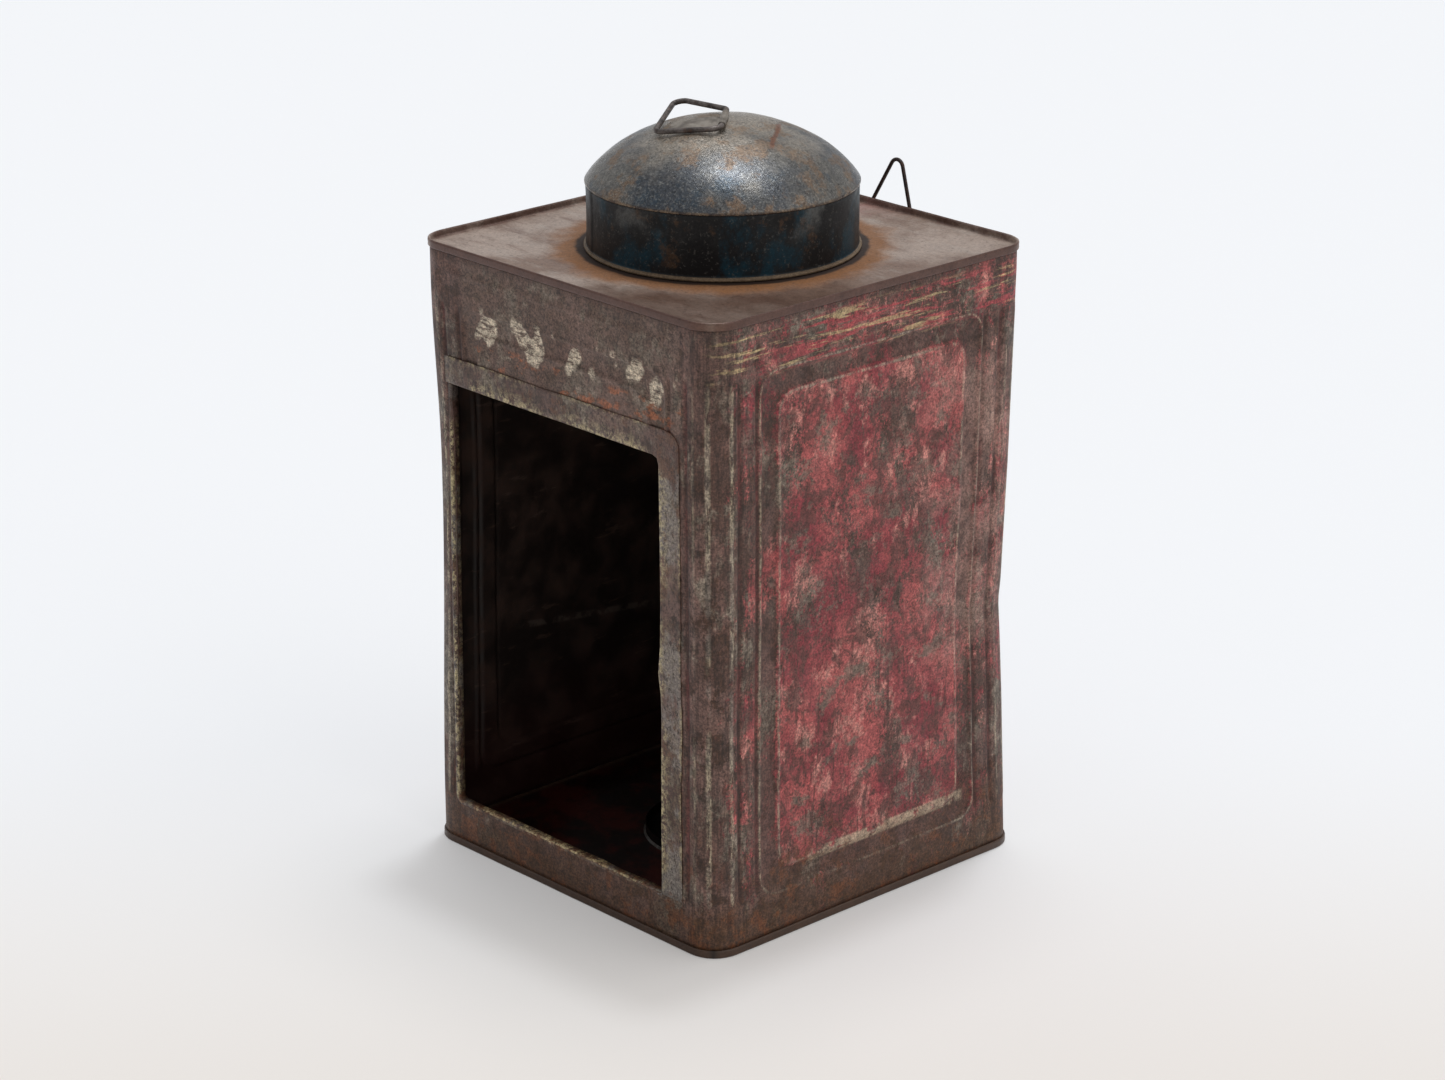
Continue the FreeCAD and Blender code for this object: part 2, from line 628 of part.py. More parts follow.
def make_hanger_loop():
    """The hanging loop: a three-sided wire loop, its peak above the tin's rim."""
    middle = loop_hinge().x
    points = [Vector(size("loop_left") - middle, 0, 0), Vector(size("loop_right") - middle, 0, 0),
              Vector(size("loop_peak") - middle, 0, size("loop_rise"))]
    bends = [size("loop_bend"), size("loop_bend"), size("loop_top_radius")]
    loop = bent_wire(points, bends, size("loop_wire_radius"))
    lean = FreeCAD.Rotation(Vector(-1, 0, 0), size("loop_lean"))
    add_feature("hanger_loop", loop, FreeCAD.Placement(loop_hinge(), lean))


NODES = ["body_wrap", "top_end", "bottom_end", "smoke_collar", "collar_solder", "drip_pan",
         "pan_solder", "candle_socket", "socket_solder", "cap_dome", "cap_band",
         "cap_bead_wire", "ring_strap", "ring_handle", "hanger_strap", "hanger_loop"]


def build():
    fill_sheet()
    make_body_wrap()
    make_end("top_end", "tin_height - seam_depth", f"{TOP_PLATE} - plate",
             "tin_height - seam_depth", True)
    make_end("bottom_end", "0", "end_recess", "seam_cover", False)
    make_smoke_collar()
    make_solder_ring("collar_solder", COLLAR, TOP_PLATE)
    make_drip_pan()
    make_solder_ring("pan_solder", "pan_radius", FLOOR)
    make_candle_socket()
    make_solder_ring("socket_solder", "candle_radius + plate", f"{FLOOR} + plate")
    make_cap_band()
    make_cap_dome()
    make_ring_strap()
    make_ring_handle()
    make_hanger_strap()
    make_hanger_loop()
    doc.recompute()


def check_and_write():
    """Stops if anything failed, then writes one file per piece."""
    for thing in doc.Objects:
        if "Invalid" in thing.State or "Error" in thing.State:
            raise RuntimeError(f"{thing.Label} failed: {thing.State}")
    os.makedirs("parts", exist_ok=True)
    pieces = {}
    for label in NODES:
        shape = doc.getObjectsByLabel(label)[0].Shape
        if shape.isNull() or not shape.isValid() or not shape.Solids:
            raise RuntimeError(f"{label} isn't a valid solid")
        pieces[label] = shape
    for label, shape in pieces.items():
        shape.exportStep(f"parts/{label}.step")
        print(f"{label}: {len(shape.Solids)} solid, {shape.Volume:.1f} mm3")


build()
check_and_write()
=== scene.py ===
"""Looks of the tin-can candle lantern: dented sheet-metal pieces in place of the plain CAD
walls, ends and cap, with worn paint, rust and soot on every piece, and some painted light and
shade."""
import math

import bpy
import numpy as np
from mathutils import Matrix, Vector, noise


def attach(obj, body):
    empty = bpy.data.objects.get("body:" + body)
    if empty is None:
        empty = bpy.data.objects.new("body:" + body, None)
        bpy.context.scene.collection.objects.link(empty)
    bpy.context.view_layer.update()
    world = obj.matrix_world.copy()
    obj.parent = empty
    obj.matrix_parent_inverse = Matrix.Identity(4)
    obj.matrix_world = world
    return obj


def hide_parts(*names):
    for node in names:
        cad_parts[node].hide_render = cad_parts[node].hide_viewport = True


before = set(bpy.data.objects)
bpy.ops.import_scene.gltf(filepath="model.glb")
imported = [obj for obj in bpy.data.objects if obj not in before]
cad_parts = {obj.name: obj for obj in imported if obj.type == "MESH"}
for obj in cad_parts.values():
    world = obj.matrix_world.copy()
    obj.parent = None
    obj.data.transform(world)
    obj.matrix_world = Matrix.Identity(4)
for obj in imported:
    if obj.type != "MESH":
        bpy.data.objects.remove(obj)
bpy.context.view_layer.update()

# sizes in millimetres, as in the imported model
MM = 0.001
PLATE = 0.4
HALF, CORNER, TOP = 118.0, 17.0, 355.6
STRAIGHT = HALF - CORNER
DOOR_LEFT, DOOR_RIGHT = -94.8, 78.0
DOOR_SILL, DOOR_HEAD = 28.0, 277.0
PANEL_HALF, PANEL_FOOT, PANEL_HEAD, PANEL_RADIUS = 82.0, 28.0, 322.0, 12.0
CHANNEL_WIDTH, CHANNEL_DEPTH = 11.5, 1.0
GROOVES, GROOVE_HALF = (85.0, 97.7), 2.2
# ribs on the corners: place past the corner's start, half width, height, and share of wear
RIBS = ((2.2, 1.3, 0.36, 0.5), (10.8, 1.5, 0.36, 1.0), (16.8, 0.8, 0.22, 0.5),
        (24.6, 1.3, 0.34, 0.9))
HEAD_RIDGE, HEAD_DIP = 340.0, 344.0
SIDE_SEAM = (87.9, 94.8)
HEM_WIDTH, NICK_HEIGHT = 16.0, 156.0
SMOKE_HOLE, NO_HOLE = 63.0, 0.05
CAP_RADIUS, BEAD_RADIUS, BEAD_HEIGHT = 74.3, 74.8, 353.0
BAND_LAP = (242.1, 246.4)
DOME_EDGE, DOME_SKIRT = 389.3, 1.2
CROWN, SHOULDER, BLEND = 107.0, 67.0, math.radians(30)
SHADOW_LIFT = 0.28


# ---------------------------------------------------------------- helpers for shapes

def smooth(value, low, high):
    """0 at low, 1 at high, with a soft start and end."""
    share = np.clip((np.asarray(value, float) - low) / (high - low), 0.0, 1.0)
    return share * share * (3 - 2 * share)


def bump(value, middle, width):
    """1 at the middle, falling to nothing over about twice the width."""
    return np.exp(-((np.asarray(value, float) - middle) / width) ** 2)


def waves(points, size, seed=0.0):
    """Smooth noise of about -1 to 1 at each point, with swellings of about the given size."""
    shift = Vector((seed * 17.3, seed * 5.1, seed * 9.7))
    flat = np.asarray(points, float).reshape(-1, 3) / size
    values = [noise.noise(Vector(place) + shift) for place in flat.tolist()]
    return np.array(values).reshape(np.shape(points)[:-1])


def stations(marks, steps):
    """Grid lines over consecutive stretches, each divided into steps of at most its length."""
    lines = [marks[0]]
    for start, end, step in zip(marks, marks[1:], steps):
        count = max(1, math.ceil((end - start) / step - 1e-9))
        lines += [start + (end - start) * i / count for i in range(1, count + 1)]
    return np.array(lines)


def square_ring(offset, lines, corner_steps):
    """Points and outward normals round the rounded square, seen from above, anticlockwise from
    the front wall's left end. Each also has its wall number and its place along that wall."""
    radius = CORNER + offset
    rows = []
    for wall in range(4):
        turn = wall * math.pi / 2
        c, s = math.cos(turn), math.sin(turn)
        for t in lines:
            x, y = t, -(HALF + offset)
            rows.append((x * c - y * s, x * s + y * c, s, -c, wall, t))
        for k in range(1, corner_steps):
            angle = math.pi / 2 * k / corner_steps
            nx, ny = math.sin(angle), -math.cos(angle)
            x, y = STRAIGHT + radius * nx, -STRAIGHT + radius * ny
            rows.append((x * c - y * s, x * s + y * c, nx * c - ny * s, nx * s + ny * c,
                         wall, STRAIGHT + CORNER * angle))
    return np.array(rows)


def dented(points):
    """The tin's large dents: bowed corners and uneasy walls, none at its seams."""
    p = np.array(points, float)
    x, y, z = p[..., 0], p[..., 1], p[..., 2]
    inner = smooth(z, 12, 60) * (1 - smooth(z, 300, 346))
    wall = smooth(np.maximum(abs(x), abs(y)), 95, 112)

    def corner(cx, cy, reach):
        return np.exp(-((x - cx) ** 2 + (y - cy) ** 2) / (2 * reach * reach))

    bow = 3.4 * corner(-HALF, -HALF, 42) * smooth(z, 25, 205) * (1 - smooth(z, 225, 338))
    p[..., 0] += bow * 0.85
    p[..., 1] += bow * 0.55
    kink = np.interp(z, [8, 90, 128, 148, 160, 230, 340], [0, 3.0, 4.9, 6.0, 5.0, 2.6, 0])
    kink = kink * corner(HALF, HALF, 48)
    p[..., 0] -= kink * 0.72
    p[..., 1] -= kink * 0.72
    kink = np.interp(z, [8, 120, 170, 260, 340], [0, 1.2, 2.2, 0.8, 0]) * corner(-HALF, HALF, 40)
    p[..., 0] += kink * 0.7
    p[..., 1] -= kink * 0.7
    uneasy = (0.75 * waves(p, 85, 1) + 0.4 * waves(p, 33, 2) - 0.55) * inner * wall
    crease = np.interp(z + 0.12 * y, [92, 100, 107, 115, 124], [0, 0.9, -0.6, 0.8, 0])
    uneasy = uneasy - np.maximum(crease, -0.3) * (x < -100) * bump(y, 0, 48) * wall
    reach = np.maximum(abs(x), abs(y))
    sideways = (abs(x) >= abs(y)).astype(float)
    fade = smooth(abs(abs(x) - abs(y)), 0, 14)
    p[..., 0] += np.sign(x) * uneasy * sideways * fade
    p[..., 1] += np.sign(y) * uneasy * (1 - sideways) * fade
    return p


def make_object(name, vertices, faces, body, slot, finishes, replaced=(), marks=None):
    """One piece from millimetre points, smooth shaded, riding on its body."""
    mesh = bpy.data.meshes.new(name)
    mesh.from_pydata((np.asarray(vertices) * MM).tolist(), [], faces)
    for label, values in (marks or {}).items():
        layer = mesh.attributes.new(label, "FLOAT", "POINT")
        layer.data.foreach_set("value", np.asarray(values, np.float32).ravel())
    mesh.polygons.foreach_set("use_smooth", [True] * len(mesh.polygons))
    mesh.validate()
    mesh.update()
    piece = bpy.data.objects.new(name, mesh)
    bpy.context.scene.collection.objects.link(piece)
    for finish in finishes:
        mesh.materials.append(finish)
    if replaced:
        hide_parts(*replaced)
    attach(piece, body)
    return piece


def grid_faces(rows, columns, close_rows=False, close_columns=False, keep=None):
    """The quads of a grid of points, perhaps closed on itself, less those not to be kept."""
    faces = []
    for i in range(rows if close_rows else rows - 1):
        for j in range(columns if close_columns else columns - 1):
            if keep is not None and not keep[i, j]:
                continue
            a, b = (i + 1) % rows, (j + 1) % columns
            faces.append((i * columns + j, i * columns + b, a * columns + b, a * columns + j))
    return faces


def enclosed(points, faces):
    """Volume inside closed faces, negative when they are turned inside out."""
    triangles = [(face[0], b, c) for face in faces for b, c in zip(face[1:], face[2:])]
    corners = points[np.array(triangles)]
    return np.einsum("ij,ij->", corners[:, 0], np.cross(corners[:, 1], corners[:, 2])) / 6


def swept(name, sections, closed_path, **kind):
    """A closed solid from closed sections [path, section, 3], capped where the path ends."""
    sections = np.asarray(sections, float)
    rows, columns = sections.shape[:2]
    faces = grid_faces(rows, columns, close_rows=closed_path, close_columns=True)
    if not closed_path:
        faces.append(tuple(reversed(range(columns))))
        faces.append(tuple(range((rows - 1) * columns, rows * columns)))
    points = sections.reshape(-1, 3)
    if enclosed(points, faces) < 0:
        faces = [face[::-1] for face in faces]
    make_object(name, points, faces, **kind)


# ---------------------------------------------------------------- helpers for finishes

def tone(red, green, blue):
    """A shader colour from its 0-255 screen values."""
    def linear(value):
        value /= 255
        return value / 12.92 if value <= 0.04045 else ((value + 0.055) / 1.055) ** 2.4
    return (linear(red), linear(green), linear(blue), 1.0)


class Finish:
    """Builds one procedural material. Places are in millimetres in the part's frame."""

    def __init__(self, name):
        self.material = bpy.data.materials.new(name)
        self.material.use_nodes = True
        self.tree = self.material.node_tree
        self.shader = self.tree.nodes["Principled BSDF"]
        coordinates = self.node("ShaderNodeTexCoord")
        scaled = self.node("ShaderNodeVectorMath", operation="SCALE")
        scaled.inputs["Scale"].default_value = 1000.0
        self.tree.links.new(coordinates.outputs["Object"], scaled.inputs[0])
        self.place = scaled.outputs[0]
        parts = self.node("ShaderNodeSeparateXYZ")
        self.tree.links.new(self.place, parts.inputs[0])
        self.x, self.y, self.z = parts.outputs

    def node(self, kind, **settings):
        made = self.tree.nodes.new(kind)
        for key, value in settings.items():
            setattr(made, key, value)
        return made

    def put(self, socket, value):
        """Links the socket to an output, or sets it to a plain value."""
        if isinstance(value, bpy.types.NodeSocket):
            self.tree.links.new(value, socket)
        else:
            socket.default_value = value

    def math(self, operation, a, b=0.0):
        made = self.node("ShaderNodeMath", operation=operation)
        self.put(made.inputs[0], a)
        self.put(made.inputs[1], b)
        return made.outputs[0]

    def add(self, a, b):
        return self.math("ADD", a, b)

    def times(self, a, b):
        return self.math("MULTIPLY", a, b)

    def flip(self, a):
        return self.math("SUBTRACT", 1.0, a)

    def size_of(self, a):
        return self.math("ABSOLUTE", a)

    def step(self, value, low, high):
        """0 at low and 1 at high, with a soft start and end; low may be the larger."""
        made = self.node("ShaderNodeMapRange", interpolation_type="SMOOTHSTEP")
        self.put(made.inputs[0], value)
        self.put(made.inputs[1], low if low < high else high)
        self.put(made.inputs[2], high if low < high else low)
        self.put(made.inputs[3], 0.0 if low < high else 1.0)
        self.put(made.inputs[4], 1.0 if low < high else 0.0)
        return made.outputs[0]

    def band(self, value, low, high, soft):
        """1 between low and high, fading over the soft distance."""
        return self.times(self.step(value, low - soft, low), self.step(value, high + soft, high))

    def noise(self, size, detail=4.0, rough=0.55, stretch=(1, 1, 1), turn=(0, 0, 0), shift=0,
              distortion=0.0):
        """Noise of about 0.3 to 0.7 whose blots are about the given size in millimetres."""
        mapping = self.node("ShaderNodeMapping")
        self.put(mapping.inputs["Vector"], self.place)
        mapping.inputs["Location"].default_value = (shift * 31.7, shift * 11.3, shift * 7.9)
        mapping.inputs["Rotation"].default_value = [math.radians(a) for a in turn]
        mapping.inputs["Scale"].default_value = [1 / (size * s) for s in stretch]
        made = self.node("ShaderNodeTexNoise")
        made.inputs["Scale"].default_value = 1.0
        made.inputs["Detail"].default_value = detail
        made.inputs["Roughness"].default_value = rough
        made.inputs["Distortion"].default_value = distortion
        self.tree.links.new(mapping.outputs[0], made.inputs["Vector"])
        return made.outputs[0]

    def spots(self, low, high, size, *detail, **kind):
        """A mask of blotches, where the noise of that size is above low to high."""
        return self.step(self.noise(size, *detail, **kind), low, high)

    def mark(self, label):
        """A value that the mesh carries at its points."""
        return self.node("ShaderNodeAttribute", attribute_name=label).outputs["Fac"]

    def mix(self, amount, a, b):
        made = self.node("ShaderNodeMix", data_type="RGBA")
        self.put(made.inputs[0], amount)
        self.put(made.inputs[6], a)
        self.put(made.inputs[7], b)
        return made.outputs[2]

    def blend(self, amount, a, b):
        """The plain number between a and b."""
        made = self.node("ShaderNodeMix", data_type="FLOAT")
        self.put(made.inputs[0], amount)
        self.put(made.inputs[2], a)
        self.put(made.inputs[3], b)
        return made.outputs[0]

    def grain(self, colour, size, low, high, **kind):
        """The colour darkened and lightened between two factors by fine noise."""
        made = self.node("ShaderNodeHueSaturation")
        amount = self.step(self.noise(size, 5, 0.78, **kind), 0.34, 0.66)
        self.put(made.inputs["Value"], self.blend(amount, low, high))
        self.put(made.inputs["Color"], colour)
        return made.outputs[0]

    def radius(self):
        """Distance from the upright middle line."""
        return self.math("SQRT", self.add(self.times(self.x, self.x),
                                          self.times(self.y, self.y)))

    def done(self, colour, roughness, height, relief_mm, metallic=0.0, gloss=0.5):
        """The finished material, with the height's relief as its bump."""
        self.put(self.shader.inputs["Base Color"], colour)
        self.put(self.shader.inputs["Roughness"], roughness)
        self.put(self.shader.inputs["Metallic"], metallic)
        self.shader.inputs["Specular IOR Level"].default_value = gloss
        raised = self.node("ShaderNodeBump")
        raised.inputs["Strength"].default_value = 1.0
        raised.inputs["Distance"].default_value = relief_mm * MM
        self.put(raised.inputs["Height"], height)
        self.tree.links.new(raised.outputs[0], self.shader.inputs["Normal"])
        return self.material


def rusty_base(f):
    """Brown tinplate with grey scuffs; returns the colour and the scuffs' mask."""
    brown = f.mix(f.spots(0.40, 0.60, 46, 6), tone(78, 54, 45), tone(104, 78, 70))
    brown = f.mix(f.spots(0.50, 0.60, 11, 8, 0.72, shift=3), brown, tone(62, 40, 28))
    scuff_cloud = f.noise(30, 10, 0.72, stretch=(1, 1, 1.5), shift=5)
    scuffs = f.step(scuff_cloud, 0.515, 0.60)
    grey = f.mix(f.spots(0.38, 0.62, 4, 6, 0.75, shift=2), tone(86, 78, 67),
                 tone(140, 131, 117))
    return f.mix(f.times(scuffs, 0.72), brown, grey), scuffs


def paint_left(f, red_side, front_side, channel, inner):
    """Where paint is left: mostly on the red wall's panel, hardly any on the front."""
    back_side = f.step(f.y, 106, 116)
    left_side = f.step(f.x, -106, -116)
    beside = f.step(f.y, -112, -88)
    amount = f.times(f.times(red_side, beside), 0.05)
    amount = f.add(amount, f.times(f.times(red_side, inner), 0.042))
    amount = f.add(amount, f.times(red_side, -0.01))
    amount = f.add(amount, f.times(channel, -0.03))
    amount = f.add(amount, f.times(back_side, 0.045))
    amount = f.add(amount, f.times(left_side, 0.02))
    amount = f.add(amount, f.times(front_side, -0.10))
    amount = f.add(amount, f.times(f.step(f.z, 50, 14), -0.06))
    amount = f.add(amount, f.times(f.times(f.step(f.z, 190, 40), inner), 0.02))
    cloud = f.noise(46, 10, 0.68, stretch=(1, 0.8, 1.3), turn=(28, 0, 0), shift=1)
    streak = f.noise(15, 9, 0.72, stretch=(1, 0.7, 1.3), turn=(34, 0, 0), shift=7,
                     distortion=0.6)
    grit = f.noise(1.7, 5, 0.8, shift=4)
    left_over = f.add(f.times(cloud, 0.44), f.times(streak, 0.28))
    left_over = f.add(left_over, f.times(grit, 0.28))
    return f.step(f.add(left_over, amount), 0.525, 0.575)


def crimson_paint(f, inner):
    """The paint's own colours: crimson, faded pink, maroon, bare patches and scratches."""
    crimson = f.mix(f.spots(0.40, 0.60, 40, 6, 0.6, shift=9), tone(130, 44, 52),
                    tone(168, 82, 80))
    pink = f.spots(0.52, 0.62, 22, 9, 0.72, stretch=(1, 1, 1.3), shift=12)
    crimson = f.mix(f.times(pink, 0.8), crimson, tone(202, 138, 126))
    maroon = f.step(f.noise(17, 11, 0.74, stretch=(1, 0.9, 1.2), turn=(30, 0, 0), shift=14,
                            distortion=0.7), 0.49, 0.56)
    crimson = f.mix(f.times(maroon, 0.8), crimson, tone(86, 50, 44))
    bare_patch = f.spots(0.54, 0.62, 21, 10, 0.74, stretch=(1, 1.2, 0.9), shift=29)
    crimson = f.mix(f.times(bare_patch, 0.75), crimson, tone(112, 103, 90))
    scratch = f.step(f.noise(12, 7, 0.7, stretch=(1, 3.0, 0.22), turn=(-8, 0, 0), shift=35),
                     0.58, 0.63)
    scratch = f.times(f.times(scratch, inner), f.band(f.z, 150, 255, 30))
    return f.mix(f.times(scratch, 0.5), crimson, tone(92, 58, 52))


def worn_relief(f, colour, channel):
    """Grooves keep dark paint, and ridges wear to cream undercoat and silvery tin."""
    deep = f.mix(f.spots(0.42, 0.6, 30, 5, shift=16), tone(60, 36, 30), tone(92, 44, 42))
    colour = f.mix(f.times(channel, 0.22), colour, deep)
    colour = f.mix(f.times(f.mark("groove"), 0.75), colour, deep)
    ridge = f.step(f.mark("crest"), 0.15, 0.75)
    flecks = f.spots(0.46, 0.54, 2.4, 6, 0.78, stretch=(1, 1, 4.2), shift=18)
    runs = f.spots(0.40, 0.51, 48, 4, 0.6, shift=19)
    flecks = f.times(f.times(ridge, flecks), runs)
    colour = f.mix(f.times(flecks, 0.75), colour, tone(182, 168, 142))
    silver = f.times(f.times(ridge, f.spots(0.44, 0.56, 24, 5, 0.6, shift=21)), 0.45)
    colour = f.mix(silver, colour, tone(138, 128, 118))
    return colour


def head_and_foot(f, colour):
    """Red and cream streaks across the red wall's head, and cream along its panel's foot."""
    head = f.times(f.band(f.z, 324, 344, 5), f.step(f.x, 108, 117))
    red_dash = f.spots(0.50, 0.56, 16, 9, 0.70, stretch=(1, 3.6, 0.34), shift=25)
    red_dash = f.times(red_dash, f.step(f.y, -104, -40))
    colour = f.mix(f.times(f.times(head, red_dash), 0.8), colour, tone(166, 66, 72))
    dashes = f.spots(0.55, 0.60, 13, 9, 0.70, stretch=(1, 3.8, 0.26), shift=23)
    colour = f.mix(f.times(f.times(head, dashes), 0.75), colour, tone(182, 162, 120))
    foot = f.times(f.band(f.z, 38.5, 43.5, 1.6), f.band(f.y, -46, 72, 4))
    foot = f.times(foot, f.step(f.x, 110, 117))
    foot = f.times(foot, f.spots(0.36, 0.50, 7, 4, 0.6, shift=27))
    colour = f.mix(f.times(foot, 0.8), colour, tone(176, 156, 132))
    return colour


def header_wear(f, colour, front_side):
    """The header: shapeless smudges of worn white and scrapes of orange rust."""
    header = f.times(front_side, f.band(f.x, -78, 92, 5))
    dim = f.times(header, f.step(f.z, 284, 296))
    colour = f.mix(f.times(dim, 0.35), colour, tone(112, 94, 82))
    smear = f.noise(17, 1.6, 0.4, stretch=(0.8, 1, 1.1), shift=33)
    smear = f.times(f.step(smear, 0.535, 0.60), f.band(f.z, 304, 323, 4))
    brushed = f.spots(0.42, 0.52, 2.4, 5, 0.75, stretch=(2.6, 1, 0.55), shift=31)
    smear = f.times(f.times(smear, header), f.blend(brushed, 0.06, 1.0))
    colour = f.mix(f.times(smear, 0.85), colour, tone(206, 192, 170))
    scrape = f.spots(0.53, 0.60, 11, 6, 0.66, stretch=(1.7, 1, 0.9), shift=36)
    scrape = f.times(f.times(scrape, header), f.band(f.z, 293, 304, 4))
    colour = f.mix(f.times(scrape, 0.75), colour, tone(150, 88, 56))
    return colour


def weathering_and_shade(f, colour, red_side):
    """Rust rises from the foot, painted shade hangs under the top seam, and grain is everywhere."""
    rise = f.add(f.z, f.times(f.add(f.noise(34, 5, shift=38), -0.5), 90))
    olive = f.step(rise, 52, 6)
    colour = f.mix(f.times(olive, 0.78), colour, tone(76, 49, 26))
    low_rust = f.times(f.spots(0.52, 0.60, 14, 8, 0.72, shift=47), f.step(rise, 70, 15))
    colour = f.mix(f.times(low_rust, 0.7), colour, tone(108, 62, 32))
    # painted shade: a dark band on the wall under the top seam's overhang
    painted_seam_shade = f.step(f.add(f.z, f.times(f.noise(8, 4, shift=39), 12)), 351, 358)
    colour = f.mix(f.times(painted_seam_shade, 0.6), colour, tone(72, 46, 38))
    pits = f.spots(0.57, 0.62, 3.4, 6, 0.76, shift=41)
    colour = f.mix(f.times(pits, 0.6), colour, tone(48, 30, 21))
    blush = f.times(f.times(red_side, f.step(f.y, 20, 70)), f.band(f.z, 150, 270, 50))
    blush = f.times(blush, f.spots(0.40, 0.58, 30, 8, 0.7, shift=49))
    colour = f.mix(f.times(blush, 0.42), colour, tone(178, 140, 128))
    corner = f.times(f.step(f.z, 262, 320), f.step(f.add(f.x, f.times(f.y, -1)), 214, 222))
    colour = f.mix(f.times(corner, 0.45), colour, tone(62, 40, 33))
    upright = f.step(f.add(f.size_of(f.x), f.size_of(f.y)), 200, 212)
    brushed_down = f.grain(colour, 2.6, 0.52, 1.50, stretch=(1, 1, 9), shift=51)
    colour = f.mix(f.times(upright, 0.85), colour, brushed_down)
    colour = f.grain(colour, 1.3, 0.46, 1.56, shift=40)
    colour = f.grain(colour, 5.0, 0.74, 1.28, shift=45)
    return colour


def worn_paint_finish():
    """The walls outside: red paint that is worn down to rusty and bare tinplate."""
    f = Finish("worn_red_paint")
    base, scuffs = rusty_base(f)
    red_side = f.step(f.x, 106, 116)
    front_side = f.step(f.y, -108, -117)
    channel = f.step(f.mark("channel"), -0.4, -0.8)
    inner = f.mark("inner")
    paint = paint_left(f, red_side, front_side, channel, inner)
    colour = f.mix(f.times(paint, 0.92), base, crimson_paint(f, inner))
    drips = f.step(f.noise(9, 7, 0.66, stretch=(1, 0.55, 4.5), turn=(9, 0, 0), shift=15,
                           distortion=0.7), 0.57, 0.63)
    drips = f.times(drips, f.times(red_side, f.step(f.z, 230, 120)))
    colour = f.mix(f.times(drips, 0.75), colour, tone(80, 46, 40))
    colour = worn_relief(f, colour, channel)
    colour = head_and_foot(f, colour)
    colour = header_wear(f, colour, front_side)
    colour = weathering_and_shade(f, colour, red_side)
    roughness = f.add(f.times(f.noise(9, 5, 0.65, shift=42), 0.5), 0.30)
    roughness = f.add(roughness, f.times(f.flip(scuffs), 0.07))
    height = f.add(f.times(paint, 0.5), f.times(f.noise(1.6, 5, 0.7, shift=43), 0.6))
    height = f.add(height, f.times(f.noise(11, 4, shift=44), 1.2))
    bare = f.times(f.times(scuffs, f.flip(paint)), 0.3)
    return f.done(colour, roughness, height, 0.14, metallic=bare)


def soot_and_shade_finish():
    """The walls inside: soot over rust, kept very dark as painted shade inside the tin, with a red
    bloom low down and a painted highlight along the left wall's crease.
    """
    f = Finish("sooty_shaded_inside")
    # soot and painted shade: the tones are kept very dark for the unlit inside of the tin
    cloud = f.spots(0.42, 0.68, 26, 6, 0.62, shift=2)
    colour = f.mix(cloud, tone(30, 20, 16), tone(62, 42, 33))
    scratch = f.spots(0.60, 0.68, 9, 6, 0.7, stretch=(1, 3, 0.6), shift=6)
    colour = f.mix(f.times(scratch, 0.5), colour, tone(96, 76, 66))
    # painted highlight: a light line along the left wall's crease, where the crease catches light
    crease = f.band(f.add(f.z, f.times(f.y, 0.12)), 103, 105, 1.6)
    crease = f.times(f.times(crease, f.step(f.x, -100, -110)), f.band(f.y, -45, 45, 12))
    crease = f.times(crease, f.spots(0.42, 0.55, 8, 5, 0.7, shift=12))
    colour = f.mix(f.times(crease, 0.3), colour, tone(118, 106, 96))
    low = f.step(f.add(f.z, f.times(f.noise(30, 4, shift=8), 60)), 120, 30)
    colour = f.mix(f.times(low, 0.45), colour, tone(70, 22, 14))
    height = f.noise(1.5, 5, 0.7, shift=3)
    return f.done(colour, f.add(f.times(cloud, 0.3), 0.55), height, 0.12)


def hem_finish():
    """The doorway's folded edges: bare and rusty tin with chipped cream on the crests."""
    f = Finish("worn_door_edge")
    base = rusty_base(f)[0]
    crest = f.mark("crest")
    grey = f.mix(f.noise(3, 5, 0.7, stretch=(1, 1, 2), shift=3), tone(104, 98, 92),
                 tone(158, 150, 144))
    worn = f.noise(24, 9, 0.70, stretch=(1, 1, 1.8), shift=5)
    silver = f.times(f.step(worn, 0.46, 0.56), f.blend(f.step(f.z, 286, 266), 0.08, 0.72))
    colour = f.mix(0.2, base, tone(84, 60, 50))
    colour = f.mix(silver, colour, grey)
    sill = f.band(f.z, 24.5, 31, 1.5)
    orange = f.times(sill, f.spots(0.42, 0.56, 16, 6, 0.7, shift=17))
    colour = f.mix(f.times(orange, 0.7), colour, tone(124, 74, 38))
    bright = f.times(f.spots(0.49, 0.54, 4.5, 6, 0.74, shift=19), sill)
    bright = f.times(bright, f.band(f.x, -72, 24, 16))
    colour = f.mix(f.times(bright, 0.9), colour, tone(214, 190, 142))
    chips = f.spots(0.46, 0.54, 3.2, 6, 0.76, shift=7)
    runs = f.spots(0.38, 0.50, 55, 3, 0.5, shift=8)
    chips = f.times(f.times(chips, runs), crest)
    colour = f.mix(f.times(chips, 0.85), colour, tone(196, 180, 138))
    rust = f.spots(0.53, 0.61, 13, 8, 0.72, shift=9)
    colour = f.mix(f.times(rust, 0.7), colour, tone(96, 62, 42))
    pits = f.spots(0.54, 0.59, 2.4, 6, 0.78, stretch=(1, 1, 1.7), shift=11)
    colour = f.mix(f.times(pits, 0.75), colour, tone(42, 28, 22))
    colour = f.grain(colour, 1.3, 0.56, 1.48, shift=14)
    roughness = f.add(f.times(f.noise(7, 4, shift=12), 0.4), 0.32)
    height = f.noise(1.5, 5, 0.7, shift=13)
    return f.done(colour, roughness, height, 0.12, metallic=f.times(silver, 0.4))


